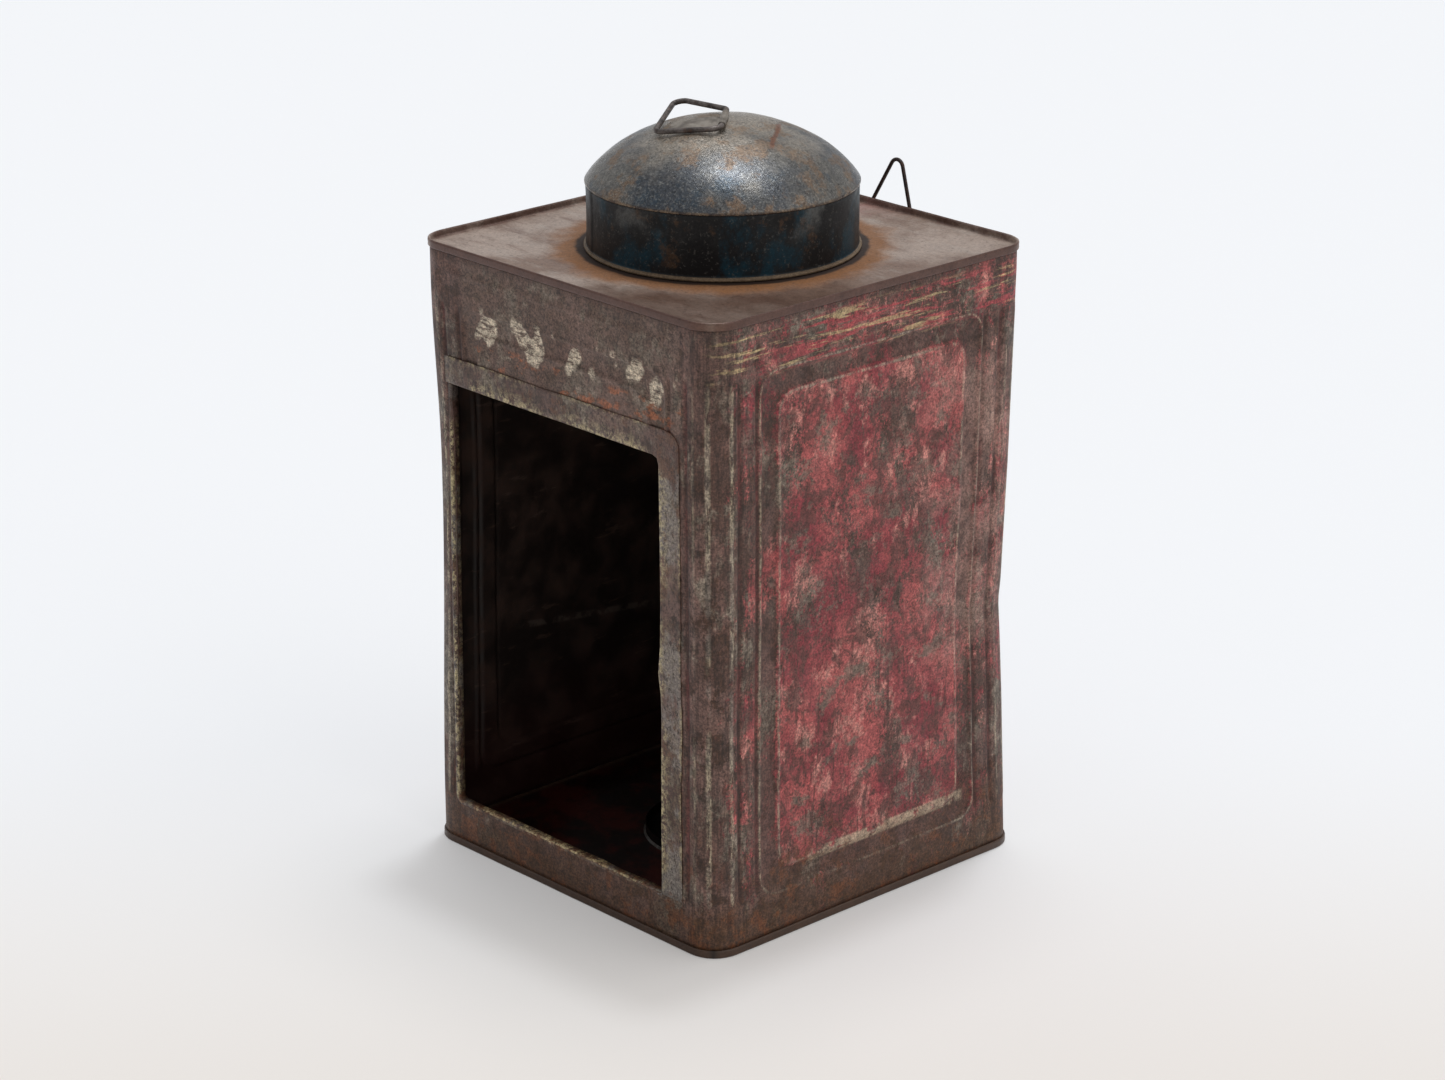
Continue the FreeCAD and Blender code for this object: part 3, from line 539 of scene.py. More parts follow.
def end_finish():
    """Top and bottom ends: satin brown tin, rust and a painted shadow round the cap, painted shade
    towards the front corner, faint pink paint, and soot deepened by painted shade inside.
    """
    f = Finish("rusty_satin_end")
    cloud = f.noise(60, 6, 0.6, shift=1)
    colour = f.mix(f.step(cloud, 0.40, 0.60), tone(132, 108, 94), tone(170, 152, 140))
    swirl = f.noise(20, 9, 0.70, stretch=(2.4, 0.8, 1), turn=(0, 0, 40), shift=3)
    colour = f.mix(f.times(f.step(swirl, 0.50, 0.64), 0.55), colour, tone(102, 74, 62))
    colour = f.mix(f.times(f.step(swirl, 0.46, 0.34), 0.45), colour, tone(178, 166, 156))
    # painted shade: the plate is made darker towards its front corner, the side facing the camera,
    # where it reflects less light
    toward = f.add(f.times(f.x, 0.72), f.times(f.y, -0.69))
    painted_front_shade = f.step(f.add(toward, f.times(f.noise(26, 6, 0.66, shift=4), 40)), 85, 128)
    colour = f.mix(f.times(painted_front_shade, 0.72), colour, tone(84, 58, 44))
    edge = f.math("MAXIMUM", f.size_of(f.x), f.size_of(f.y))
    pink_zone = f.times(f.step(f.y, 20, 90), f.step(f.x, 40, -60))
    pink_zone = f.times(f.times(pink_zone, f.step(edge, 84, 108)),
                        f.spots(0.40, 0.55, 24, 5, 0.6, shift=5))
    colour = f.mix(f.times(pink_zone, 0.75), colour, tone(176, 104, 104))
    rim = f.times(f.step(edge, 113, 117), f.spots(0.3, 0.6, 12, 5, shift=6))
    colour = f.mix(f.times(rim, 0.7), colour, tone(92, 60, 50))
    ring = f.add(f.radius(), f.times(f.noise(20, 5, 0.6, shift=7), -26))
    rust = f.step(ring, 86, 72)
    colour = f.mix(f.times(rust, 0.85), colour, tone(126, 78, 30))
    # painted shadow: a dark ring on the plate where the cap's band stands on it
    dark = f.step(f.add(f.radius(), f.times(f.noise(14, 4, shift=8), -5)), 78.6, 76)
    colour = f.mix(f.times(dark, 0.95), colour, tone(30, 13, 5))
    wall_side = f.step(edge, 117.0, 118.4)
    brown = f.mix(f.noise(10, 6, 0.7, shift=9), tone(60, 39, 33), tone(108, 78, 68))
    colour = f.mix(wall_side, colour, brown)
    low = f.times(f.step(f.z, 20, 6), 0.85)
    olive = f.mix(f.noise(12, 5, shift=10), tone(44, 30, 19), tone(82, 56, 36))
    colour = f.mix(low, colour, olive)
    # soot and painted shade: the bottom plate's inside is kept very dark for the unlit inside of
    # the tin
    inside = f.times(f.step(f.z, 20, 8), f.step(edge, 116.5, 113))
    soot_and_shade = f.mix(f.spots(0.42, 0.6, 28, 6, 0.66, shift=17), tone(26, 14, 10),
                 tone(70, 22, 14))
    colour = f.mix(inside, colour, soot_and_shade)
    dots = f.spots(0.58, 0.64, 2.2, 5, 0.75, shift=11)
    colour = f.mix(f.times(dots, 0.5), colour, tone(54, 36, 28))
    colour = f.grain(colour, 1.4, 0.80, 1.18, shift=15)
    roughness = f.add(f.times(f.noise(12, 5, 0.65, shift=12), 0.45), 0.20)
    roughness = f.add(roughness, f.times(rust, 0.3))
    height = f.add(f.noise(1.8, 5, 0.7, shift=13), f.times(f.noise(17, 4, shift=14), 1.6))
    shine = f.times(f.times(f.flip(rust), f.step(f.z, 20, 60)), 0.3)
    return f.done(colour, roughness, height, 0.12, metallic=shine)


def pan_finish():
    """The drip pan: sooty, oily red-brown, kept near black as painted shade inside the tin."""
    f = Finish("sooty_shaded_bottom")
    # painted shade: near-black tones for the pan in the tin's unlit inside
    colour = f.mix(f.spots(0.4, 0.65, 30, 5, shift=1), tone(12, 7, 5),
                   tone(30, 15, 11))
    colour = f.mix(f.spots(0.58, 0.66, 7, 6, 0.7, shift=3), colour, tone(8, 6, 5))
    return f.done(colour, f.add(f.times(f.noise(9, 4, shift=4), 0.2), 0.75),
                  f.noise(1.5, 5, 0.7), 0.12, gloss=0.2)


def dome_finish():
    """The dome: blue-grey enamel, freckled and scoured, browner on top."""
    f = Finish("scoured_blue_dome")
    cloud = f.noise(40, 6, 0.62, shift=1)
    colour = f.mix(f.step(cloud, 0.40, 0.62), tone(60, 64, 70), tone(100, 97, 92))
    teal = f.spots(0.52, 0.64, 19, 6, 0.66, shift=3)
    colour = f.mix(f.times(teal, 0.7), colour, tone(44, 60, 72))
    beige = f.add(f.z, f.times(f.noise(34, 6, 0.62, shift=5), 42))
    colour = f.mix(f.times(f.step(beige, 427, 442), 0.8), colour, tone(160, 149, 135))
    brown = f.spots(0.51, 0.59, 23, 9, 0.70, shift=7)
    colour = f.mix(f.times(brown, 0.65), colour, tone(118, 90, 62))
    freckles = f.spots(0.52, 0.60, 1.6, 5, 0.8, shift=9)
    colour = f.mix(f.times(freckles, 0.38), colour, tone(150, 148, 142))
    specks = f.spots(0.56, 0.63, 2.4, 4, 0.75, shift=11)
    colour = f.mix(f.times(specks, 0.6), colour, tone(30, 31, 34))
    across = f.add(f.times(f.x, 0.766), f.times(f.y, 0.643))
    along = f.add(f.times(f.x, -0.643), f.times(f.y, 0.766))
    streak = f.times(f.band(f.add(across, f.times(f.noise(9, 4), 4)), 31.5, 32.7, 1.2),
                     f.band(along, -26, 4, 6))
    colour = f.mix(f.times(streak, 0.85), colour, tone(112, 66, 40))
    lip = f.step(f.z, 389.9, 388.9)
    chips = f.spots(0.44, 0.58, 5, 5, 0.7, shift=13)
    lip_colour = f.mix(f.times(chips, 0.7), tone(58, 42, 32), tone(130, 108, 82))
    colour = f.mix(f.times(lip, 0.8), colour, lip_colour)
    colour = f.grain(colour, 1.2, 0.52, 1.50, shift=19)
    roughness = f.add(f.times(f.noise(3.5, 6, 0.75, shift=15), 0.48), 0.05)
    roughness = f.add(roughness, f.times(brown, 0.12))
    height = f.add(f.noise(1.4, 5, 0.75, shift=17), f.times(f.noise(9, 5, shift=18), 1.6))
    return f.done(colour, roughness, height, 0.14, metallic=0.45, gloss=0.7)


def band_finish():
    """The cap's upright band: blue-black enamel with teal and rust."""
    f = Finish("dark_blue_band")
    cloud = f.noise(30, 6, 0.62, shift=1)
    colour = f.mix(f.step(cloud, 0.40, 0.62), tone(10, 10, 12), tone(26, 26, 27))
    teal = f.spots(0.49, 0.62, 34, 8, 0.66, stretch=(1, 1, 1.5), shift=4)
    colour = f.mix(f.times(teal, 0.75), colour, tone(4, 50, 64))
    brown = f.times(f.spots(0.57, 0.66, 19, 9, 0.72, shift=6), 0.7)
    colour = f.mix(brown, colour, tone(72, 52, 36))
    haze = f.times(f.spots(0.5, 0.66, 26, 5, 0.6, shift=8), f.step(f.z, 366, 384))
    colour = f.mix(f.times(haze, 0.5), colour, tone(104, 104, 102))
    dots = f.spots(0.57, 0.64, 2.2, 4, 0.75, shift=10)
    colour = f.mix(f.times(dots, 0.5), colour, tone(84, 82, 78))
    bead = f.step(f.z, 354.6, 353.9)
    bead_tone = f.mix(f.noise(6, 5, 0.7, shift=12), tone(66, 50, 38), tone(142, 122, 98))
    colour = f.mix(bead, colour, bead_tone)
    colour = f.grain(colour, 1.2, 0.70, 1.30, shift=18)
    roughness = f.add(f.times(f.noise(6, 5, 0.7, shift=14), 0.4), 0.24)
    height = f.add(f.noise(1.6, 4, 0.7, shift=16), f.times(f.noise(12, 5, shift=17), 1.2))
    return f.done(colour, roughness, height, 0.10, gloss=0.22)


def wire_finish(name, light, dark, rust_share):
    """Drawn wire between two tones, with its share of rust."""
    f = Finish(name)
    colour = f.mix(f.spots(0.38, 0.62, 7, 5, 0.66, shift=1), tone(*dark), tone(*light))
    rust = f.times(f.spots(0.52, 0.64, 4, 5, 0.7, shift=3), rust_share)
    colour = f.mix(rust, colour, tone(84, 56, 40))
    height = f.noise(0.9, 4, 0.7, shift=5)
    return f.done(colour, f.add(f.times(f.noise(3, 4), 0.4), 0.3), height, 0.08,
                  metallic=0.45)


def tin_finish(name, light, dark, metallic, rough):
    """Small parts of bare tin, with their tarnish and rust spots."""
    f = Finish(name)
    colour = f.mix(f.spots(0.36, 0.64, 9, 6, 0.66, shift=1), tone(*dark), tone(*light))
    rust = f.spots(0.55, 0.66, 5, 6, 0.7, shift=3)
    colour = f.mix(f.times(rust, 0.6), colour, tone(96, 64, 42))
    height = f.noise(1.2, 5, 0.7, shift=5)
    return f.done(colour, f.add(f.times(f.noise(4, 5), 0.4), rough), height, 0.10,
                  metallic=metallic)


paint = worn_paint_finish()
soot_and_shade = soot_and_shade_finish()
hem_metal = hem_finish()
end_metal = end_finish()
pan_soot_and_shade = pan_finish()
dome_enamel = dome_finish()
band_enamel = band_finish()
ring_wire = wire_finish("ring_wire", (110, 102, 98), (56, 50, 48), 0.5)
loop_wire = wire_finish("loop_wire", (62, 48, 44), (34, 26, 25), 0.8)
knuckle_tin = tin_finish("knuckle_tin", (142, 134, 124), (92, 84, 76), 0.3, 0.3)
inner_tin = tin_finish("inner_tin", (92, 78, 66), (44, 34, 28), 0.3, 0.35)
dull_solder = tin_finish("dull_solder", (136, 132, 128), (78, 74, 70), 0.6, 0.3)


# ---------------------------------------------------------------- the walls

def panel_distance(t, z, inset=0.0):
    """Distance outside the swaged outline or, with an inset, the inner panel; negative inside."""
    half, rise = PANEL_HALF - inset, (PANEL_HEAD - PANEL_FOOT) / 2 - inset
    dx = abs(t) - (half - PANEL_RADIUS)
    dz = abs(z - (PANEL_HEAD + PANEL_FOOT) / 2) - (rise - PANEL_RADIUS)
    outside = np.hypot(np.maximum(dx, 0), np.maximum(dz, 0))
    return outside + np.minimum(np.maximum(dx, dz), 0) - PANEL_RADIUS


def corner_ribs(t):
    """Height of the ribs on the upright corners, by distance along the wall, and their wear."""
    past = abs(t) - STRAIGHT
    height = sum(high * bump(past, place, width) for place, width, high, wear in RIBS)
    worn = sum(wear * bump(past, place, width) for place, width, high, wear in RIBS)
    return height, worn


def embossing(wall, t, z):
    """Height of the pressed pattern over the plain wall, in millimetres, and two masks: the
    crests, where paint wears off, and the narrow grooves, where it stays."""
    outline, panel = panel_distance(t, z), panel_distance(t, z, CHANNEL_WIDTH)
    channel = smooth(outline, 0.5, -1.5) - smooth(panel, 1.6, -0.9)
    height = -CHANNEL_DEPTH * channel
    height += 0.30 * bump(outline, 1.1, 0.9) + 0.34 * bump(panel, -1.4, 1.0)
    ends = smooth(z, 26, 33) * (1 - smooth(z, 317, 325))
    groove = 0
    for place in GROOVES:
        groove = groove + ends * (1 - smooth(abs(abs(t) - place), 0.3, GROOVE_HALF))
    height -= 0.95 * groove
    between = ends * bump(abs(t), sum(GROOVES) / 2, 2.6)
    ribs, worn = corner_ribs(t)
    height += ends * ribs + 0.12 * between
    level = (1 - smooth(abs(t), 86, 96))
    height += level * (0.30 * bump(z, HEAD_RIDGE, 1.4) - 0.22 * bump(z, HEAD_DIP, 2.2))
    header = (wall == 0) & (z > DOOR_HEAD)
    crest = ends * worn + 0.25 * between
    crest += np.where(header, 0.08, 0.62) * (bump(outline, 1.1, 0.9) + bump(panel, -1.4, 1.1))
    seam = (smooth(-t, SIDE_SEAM[0], SIDE_SEAM[0] + 0.6)
            * (1 - smooth(-t, SIDE_SEAM[1] - 0.6, SIDE_SEAM[1])))
    height = np.where((wall == 2) & (seam > 0), 0.85 * seam, height)
    return height, np.clip(crest, 0, 1), groove


def make_walls():
    """The four walls as one sheet, embossed and dented, with the doorway left open."""
    lines = stations([-STRAIGHT, DOOR_LEFT, -67, 67, DOOR_RIGHT, STRAIGHT],
                     [0.9, 0.9, 4.0, 0.9, 0.9])
    ring = square_ring(0.0, lines, 12)
    levels = stations([4.3, 24, DOOR_SILL, 44, DOOR_HEAD, 306, 324, 336, 346, 351.3],
                      [3.3, 0.8, 0.8, 4.3, 2.0, 0.8, 2.0, 0.8, 1.5])
    z = np.repeat(levels[:, None], len(ring), axis=1)
    wall = np.repeat(ring[None, :, 4], len(levels), axis=0)
    t = np.repeat(ring[None, :, 5], len(levels), axis=0)
    relief, crest, groove = embossing(wall, t, z)
    points = np.stack([ring[:, 0] + relief * ring[:, 2], ring[:, 1] + relief * ring[:, 3], z],
                      axis=-1)
    middle_t = (t + np.roll(t, -1, axis=1)) / 2
    middle_z = (z[:-1] + z[1:]) / 2
    doorway = ((wall[:-1] == 0) & (middle_t[:-1] > DOOR_LEFT) & (middle_t[:-1] < DOOR_RIGHT)
               & (middle_z > DOOR_SILL) & (middle_z < DOOR_HEAD) & (t[:-1] < STRAIGHT))
    inner = smooth(panel_distance(t, z, CHANNEL_WIDTH), 2.0, -1.0)
    points = dented(points)
    faces = grid_faces(len(levels), len(ring), close_columns=True, keep=~doorway)
    used = np.unique([index for face in faces for index in face])
    renumber = np.full(points.shape[0] * points.shape[1], -1)
    renumber[used] = np.arange(len(used))
    faces = [tuple(int(renumber[i]) for i in face) for face in faces]
    marks = {"crest": crest, "groove": groove, "inner": inner, "channel": relief}
    marks = {label: values.ravel()[used] for label, values in marks.items()}
    piece = make_object("tin_walls", points.reshape(-1, 3)[used], faces, "tin", "worn_red_tin",
                        [paint, soot_and_shade], ["body_wrap"], marks)
    shell = piece.modifiers.new("plate", "SOLIDIFY")
    shell.thickness = PLATE * MM
    shell.offset = -1
    shell.material_offset = 1
    shell.material_offset_rim = 0


def door_outline(reach, radius):
    """Points from the doorway's lower right corner up and over to its upper left corner, moved
    outward by the reach, with the given corner radius."""
    right, head = DOOR_RIGHT + reach, DOOR_HEAD + reach
    up = [(right, z) for z in stations([DOOR_SILL, 140, 170, head - radius], [6, 2, 6])]
    turn = [(right - radius + radius * math.cos(a), head - radius + radius * math.sin(a))
            for a in np.linspace(0, math.pi / 2, 9)[1:-1]]
    over = [(x, head) for x in stations([right - radius, DOOR_LEFT - 3.5], [6])]
    return up + turn + over


def paced(line):
    """A function that gives the outline's point at 0, its foot, 1, its corner, or 2, its end."""
    along = np.concatenate([[0], np.cumsum(np.hypot(*np.diff(line, axis=0).T))])
    diagonal = (line[:, 0] - DOOR_RIGHT) - (line[:, 1] - DOOR_HEAD)
    corner = along[np.argmin(abs(diagonal))]

    def point(share):
        place = share * corner if share <= 1 else corner + (share - 1) * (along[-1] - corner)
        return np.array([np.interp(place, along, line[:, 0]), np.interp(place, along, line[:, 1])])

    return point


def make_hem():
    """The flap of the cut-out that is folded outward at the right and over the top."""
    fold = paced(np.array(door_outline(0.0, 4.0)))
    raw_edge = paced(np.array(door_outline(HEM_WIDTH, 9.0)))
    shares = np.concatenate([np.linspace(0, 1, 61)[:-1], np.linspace(1, 2, 49)])
    rows, crest = [], []
    for share in shares:
        inner_point = fold(share)
        across = raw_edge(share) - inner_point
        width = np.hypot(*across)
        across = across / width
        seed = np.array([[inner_point[0], 0.0, inner_point[1]]])
        width += 0.5 * float(waves(seed, 9, 4)[0]) + float(waves(seed, 30, 5)[0]) - 0.5
        nick = -1.8 * float(bump(inner_point[1], NICK_HEIGHT, 9)) * (share < 0.9)
        lift = 0.10 + 0.16 * float(waves(seed, 22, 6)[0])
        crown = 0.12 * float(waves(seed, 14, 7)[0])
        profile = [(0.5, -PLATE), (-0.25, -0.34), (-0.55, -0.05), (-0.45, 0.35), (0.0, 0.68),
                   (1.0, 0.82 + crown), (3.0, 0.70 + crown), (width * 0.5, 0.60 + crown * 0.5),
                   (width - 2.5, 0.58 + lift), (width - 0.3, 0.62 + lift), (width, 0.44 + lift),
                   (width - 0.2, 0.18), (width - 2.5, 0.05), (width * 0.5, 0.0), (1.5, -0.05)]
        section = []
        for w, proud in profile:
            place = inner_point + across * (w + nick * max(0.0, 1 - w / 14))
            section.append((place[0], -(HALF + proud), place[1]))
        rows.append(section)
        crest += [0, 0.3, 0.8, 1, 1, 1, 0.5, 0.1, 0.1, 0.6, 0.6, 0, 0, 0, 0]
    swept("door_hem", dented(np.array(rows)), False, body="tin", slot="worn_red_tin",
          finishes=[hem_metal], marks={"crest": crest})


def make_flange():
    """The tongue folded inward at the doorway's left side and sill, bent and chipped."""
    left = [(DOOR_LEFT, z, 1.0, 0.0) for z in stations([DOOR_HEAD + 1, DOOR_SILL + 4], [5])]
    turn = [(DOOR_LEFT + 4 - 4 * math.cos(a), DOOR_SILL + 4 - 4 * math.sin(a),
             math.cos(a), math.sin(a)) for a in np.linspace(0, math.pi / 2, 7)[1:-1]]
    low = [(x, DOOR_SILL, 0.0, 1.0) for x in stations([DOOR_LEFT + 4, DOOR_RIGHT - 0.5], [4])]
    rows, crest = [], []
    for x, z, nx, nz in left + turn + low:
        seed = np.array([[x, 0.0, z]])
        depth = 4.6 + 6.6 * float(smooth(z, 30, 150) * (1 - smooth(z, 225, 272))) * nx
        depth += 0.9 * float(waves(seed, 20, 8)[0]) - 0.2
        tilt = 0.10 * nx * float(smooth(z, 60, 170)) + 0.05 * float(waves(seed, 35, 9)[0])
        wobble = 0.3 * float(waves(seed, 12, 10)[0])
        profile = [(-2.2, 0.0), (-1.2, -0.16), (-0.3, -0.12), (0.3, 0.25), (0.5, 0.9),
                   (0.5 + tilt * depth * 0.5 + wobble, depth * 0.5),
                   (0.5 + tilt * depth, depth), (0.1 + tilt * depth, depth),
                   (0.1 + tilt * depth * 0.5 + wobble, depth * 0.5), (0.1, 1.0), (-0.1, 0.5),
                   (-0.6, 0.2)]
        rows.append([(x + nx * n, -HALF + inward, z + nz * n) for n, inward in profile])
        crest += [0.2, 1, 1, 1, 0.6, 0.1, 0.5, 0.1, 0, 0, 0, 0]
    swept("door_flange", dented(np.array(rows)), False, body="tin", slot="worn_red_tin",
          finishes=[hem_metal], marks={"crest": crest})


# ---------------------------------------------------------------- the ends

def make_end(name, replaced, plate_level, rim, up, hole):
    """A can end: a rolled double seam round the walls and a recessed plate with a round hole.
    The rim is its outer height, and up is 1 or -1 for the direction out of the tin."""
    lines = stations([-STRAIGHT, STRAIGHT], [6])
    base = rim - up * 4.5
    # the seam's section: outward distance from the wall and level
    seam = [(0.05, base), (0.55, base - up * 0.05), (0.95, base + up * 0.25),
            (1.1, base + up * 0.8), (1.0, base + up * 1.8), (1.15, rim - up * 1.2),
            (1.0, rim - up * 0.4), (0.45, rim - up * 0.02), (-0.15, rim - up * 0.2),
            (-0.5, rim - up * 0.8), (-0.6, rim - up * 2.4),
            (-0.8, plate_level + up * 0.35), (-1.5, plate_level + up * 0.02)]

    def level_ring(offset, level):
        ring = square_ring(offset, lines, 8)
        return np.column_stack([ring[:, :2], np.full(len(ring), level)])

    section = [level_ring(offset, level) for offset, level in seam]
    start = square_ring(-1.5, lines, 8)
    direction = np.arctan2(start[:, 1], start[:, 0])
    circle = np.stack([np.cos(direction), np.sin(direction)], axis=-1)
    for share in np.linspace(0, 1, 15)[1:]:
        flat = start[:, :2] * (1 - share) + circle * hole * share
        section.append(np.concatenate([flat, np.full((len(flat), 1), plate_level)], axis=-1))
    if hole > NO_HOLE:
        section[-1][:, 2] -= up * 0.1
    section += [ring - (0, 0, up * PLATE) for ring in reversed(section[len(seam) - 1:])]
    section += [level_ring(-1.0, plate_level - up * 0.3), level_ring(-0.95, base + up * 0.4)]
    points = np.stack(section, axis=1)
    reach = np.max(abs(points[..., :2]), axis=-1)
    plate = smooth(reach, 114, 98) * smooth(np.hypot(points[..., 0], points[..., 1]), 80, 92)
    flat_points = points.copy()
    flat_points[..., 2] = 0
    sag = plate * (0.55 * waves(flat_points, 48, 11) + 0.2 * waves(flat_points, 17, 12) - 0.35)
    points[..., 2] += up * sag
    rim_part = smooth(reach, 116.5, 117.5)
    points[..., 2] -= up * rim_part * (0.10 + 0.10 * waves(flat_points, 26, 13))
    points[..., :2] *= (1 - rim_part * (0.10 + 0.18 * waves(flat_points, 40, 14)) / HALF)[..., None]
    swept(name, points, True, body="tin", slot="worn_red_tin", finishes=[end_metal],
          replaced=[replaced])


# ---------------------------------------------------------------- the cap

def turned(name, profile, segments, shift, **kind):
    """A solid of revolution from a closed profile of (radius, level), moved by shift."""
    profile = np.asarray(profile, float)
    angles = np.linspace(0, 2 * math.pi, segments, endpoint=False)
    c, s = np.cos(angles)[:, None], np.sin(angles)[:, None]
    radius, level = profile[None, :, 0], profile[None, :, 1]
    points = np.stack([radius * c, radius * s, level + 0 * c], axis=-1)
    swept(name, shift(points), True, **kind)


def dome_profile(inset):
    """Radius and level down the dome from its crown, the inset below its outer face."""
    middle = (CROWN - SHOULDER) * math.sin(BLEND)
    edge = math.asin((CAP_RADIUS + PLATE - middle) / SHOULDER)
    shoulder_level = DOME_EDGE - SHOULDER * math.cos(edge)
    crown_level = shoulder_level - (CROWN - SHOULDER) * math.cos(BLEND)
    rows = [((CROWN - inset) * math.sin(a), crown_level + (CROWN - inset) * math.cos(a))
            for a in np.linspace(math.radians(0.4), BLEND, 22)]
    rows += [(middle + (SHOULDER - inset) * math.sin(a),
              shoulder_level + (SHOULDER - inset) * math.cos(a))
             for a in np.linspace(BLEND, edge, 22)[1:]]
    return rows


def dome_dents(points):
    """Shallow dents, pressed inward only so that the resting ring stays clear."""
    p = points.copy()
    flat = p.copy()
    flat[..., 2] = 0
    radius = np.hypot(p[..., 0], p[..., 1])
    press = 0.35 + 0.45 * waves(flat, 26, 21) + 0.15 * waves(flat, 9, 22)
    across = 0.86 * p[..., 0] + 0.51 * p[..., 1]
    along = -0.51 * p[..., 0] + 0.86 * p[..., 1]
    press = press + 0.7 * bump(across, 34, 3.2) * bump(along, -8, 15)
    press = np.maximum(press, 0) * smooth(radius, 4, 18) * (1 - smooth(radius, 66, 73))
    p[..., 2] -= press
    return p


def make_dome():
    """The dome and the narrow lip that it sits on the band with."""
    outer = dome_profile(0.0)
    edge_radius = CAP_RADIUS + PLATE
    foot = DOME_EDGE - DOME_SKIRT
    skirt = [(edge_radius + 0.14, DOME_EDGE - 0.3), (edge_radius + 0.16, foot + 0.4),
             (edge_radius + 0.02, foot), (CAP_RADIUS + 0.02, foot),
             (CAP_RADIUS + 0.02, DOME_EDGE - 0.7)]
    inner = [point for point in reversed(dome_profile(PLATE)) if point[0] < CAP_RADIUS - 0.3]
    profile = outer + skirt + inner

    def shift(points):
        p = dome_dents(points)
        flat = p.copy()
        flat[..., 2] = 0
        lip = smooth(np.hypot(p[..., 0], p[..., 1]), 72, 74.4)
        p[..., 2] -= lip * (0.12 + 0.16 * waves(flat, 16, 23) + 0.08 * waves(flat, 5, 24))
        return p

    turned("dome_shell", profile, 160, shift, body="cap", slot="blue_cap",
           finishes=[dome_enamel], replaced=["cap_dome"])


def make_band():
    """The cap's band with its rolled lower edge and its lap."""
    top = DOME_EDGE - 0.2
    rolled = [(BEAD_RADIUS + 0.9 * math.cos(a), BEAD_HEIGHT + 0.9 * math.sin(a))
              for a in np.linspace(math.radians(118), math.radians(-190), 14)]
    profile = [(CAP_RADIUS - 0.02, top)]
    profile += [(CAP_RADIUS, level) for level in np.linspace(top - 3, BEAD_HEIGHT + 2.4, 10)]
    profile += rolled
    profile += [(CAP_RADIUS - PLATE, level) for level in np.linspace(BEAD_HEIGHT + 1, top, 10)]

    def shift(points):
        p = points.copy()
        angle = np.degrees(np.arctan2(p[..., 1], p[..., 0])) % 360
        between = smooth(p[..., 2], 355.5, 362) * (1 - smooth(p[..., 2], 380, 386))
        push = between * (0.25 + 0.35 * waves(p, 30, 25))
        lap = (smooth(angle, BAND_LAP[0], BAND_LAP[0] + 0.3)
               * (1 - smooth(angle, BAND_LAP[1] - 0.3, BAND_LAP[1])))
        lap = lap * smooth(p[..., 2], 354.4, 355.4)
        radius = np.hypot(p[..., 0], p[..., 1])
        scale = (radius - np.maximum(push, 0) + 0.5 * lap) / radius
        p[..., 0] *= scale
        p[..., 1] *= scale
        return p

    turned("band_shell", profile, 360, shift, body="cap", slot="blue_cap",
           finishes=[band_enamel], replaced=["cap_band", "cap_bead_wire"])


make_walls()
make_hem()
make_flange()
make_end("top_plate", "top_end", 351.8, TOP, 1, SMOKE_HOLE)
make_end("bottom_plate", "bottom_end", 3.8, 0.0, -1, NO_HOLE)
make_dome()
make_band()

CARRIED = {"ring_handle": ring_wire, "ring_strap": knuckle_tin, "hanger_loop": loop_wire,
           "hanger_strap": inner_tin, "smoke_collar": inner_tin, "collar_solder": dull_solder,
           "drip_pan": pan_soot_and_shade, "pan_solder": dull_solder, "candle_socket": inner_tin,
           "socket_solder": dull_solder}
for node, finish in CARRIED.items():
    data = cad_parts[node].data
    data.materials.clear()
    data.materials.append(finish)


# ---------------------------------------------------------------- stage, light and camera

def floor_finish():
    """The floor: pale, and a little darker and warmer towards the camera, as painted shade and warm
    bounce light.
    """
    f = Finish("pale_floor")
    # painted shade and bounce light: darker and warmer towards the camera
    painted_bounce_shade = f.step(f.add(f.times(f.x, 0.73), f.times(f.y, -0.68)), -200, 480)
    colour = f.mix(painted_bounce_shade, tone(243, 244, 246), tone(231, 224, 217))
    surface = f.done(colour, 0.7, f.noise(3, 3), 0.02)
    # part of the floor's brightness is even, which lightens the shadow without losing it
    even, blend = f.node("ShaderNodeEmission"), f.node("ShaderNodeMixShader")
    f.put(even.inputs["Color"], colour)
    seen = f.node("ShaderNodeLightPath").outputs["Is Camera Ray"]
    f.put(blend.inputs[0], f.times(seen, SHADOW_LIFT))
    f.tree.links.new(f.shader.outputs[0], blend.inputs[1])
    f.tree.links.new(even.outputs[0], blend.inputs[2])
    ends = [n for n in f.tree.nodes if n.type == "OUTPUT_MATERIAL"]
    f.tree.links.new(blend.outputs[0], ends[0].inputs["Surface"])
    return surface


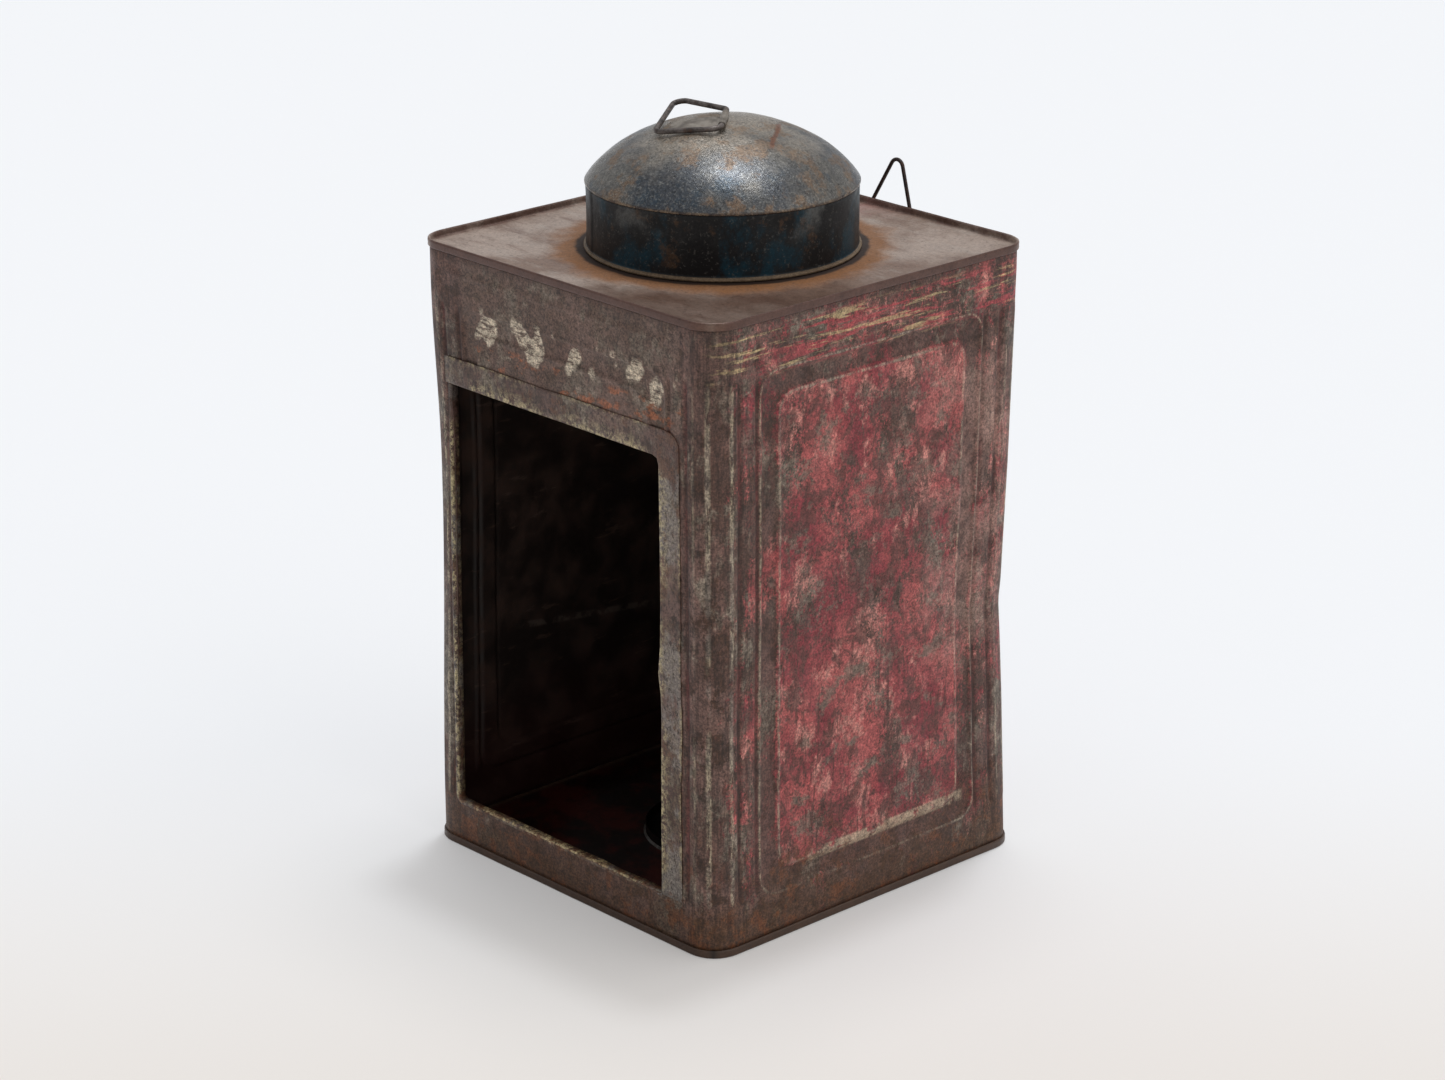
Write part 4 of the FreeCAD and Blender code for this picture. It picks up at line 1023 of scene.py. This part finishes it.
floor_mesh = bpy.data.meshes.new("studio_floor")
floor_mesh.from_pydata([(-9, -9, 0), (9, -9, 0), (9, 9, 0), (-9, 9, 0)], [], [(0, 1, 2, 3)])
floor_mesh.materials.append(floor_finish())
studio_floor = bpy.data.objects.new("studio_floor", floor_mesh)
bpy.context.scene.collection.objects.link(studio_floor)


def add_sun(name, towards, strength, spread, colour=(1, 1, 1)):
    """A soft distant light that comes from the given direction."""
    lamp = bpy.data.lights.new(name, "SUN")
    lamp.energy = strength
    lamp.angle = math.radians(spread)
    lamp.color = colour
    holder = bpy.data.objects.new(name, lamp)
    holder.rotation_mode = "QUATERNION"
    holder.rotation_quaternion = Vector(towards).to_track_quat("Z", "Y")
    bpy.context.scene.collection.objects.link(holder)


add_sun("ceiling_light", (-0.09, 0.21, 0.97), 1.08, 30)
add_sun("ceiling_core", (-0.07, 0.19, 0.97), 0.62, 6, (0.88, 0.94, 1.0))
add_sun("side_light", (0.80, 0.28, 0.50), 0.52, 60, (1.0, 0.98, 0.95))

world = bpy.data.worlds.new("studio")
world.use_nodes = True
world.node_tree.nodes["Background"].inputs["Color"].default_value = (0.97, 0.98, 1.0, 1)
world.node_tree.nodes["Background"].inputs["Strength"].default_value = 0.46
bpy.context.scene.world = world

LENS, SENSOR = 98.79, 36.0
CAMERA_PLACE = (1.52435, -1.41755, 0.93768)
YAW, PITCH, ROLL = math.radians(47.093), math.radians(19.984), math.radians(-0.137)
across = Vector((math.cos(YAW), math.sin(YAW), 0))
ahead = Vector((-math.sin(YAW) * math.cos(PITCH), math.cos(YAW) * math.cos(PITCH),
                -math.sin(PITCH)))
above = across.cross(ahead)
right = across * math.cos(ROLL) + above * math.sin(ROLL)
upward = above * math.cos(ROLL) - across * math.sin(ROLL)
place = Matrix((right, upward, -ahead)).transposed().to_4x4()
place.translation = Vector(CAMERA_PLACE)
lens = bpy.data.cameras.new("camera")
lens.lens = LENS
lens.sensor_width = SENSOR
lens.sensor_fit = "HORIZONTAL"
camera = bpy.data.objects.new("camera", lens)
camera.matrix_world = place
bpy.context.scene.collection.objects.link(camera)
bpy.context.scene.camera = camera

bpy.context.scene.view_settings.view_transform = "Standard"
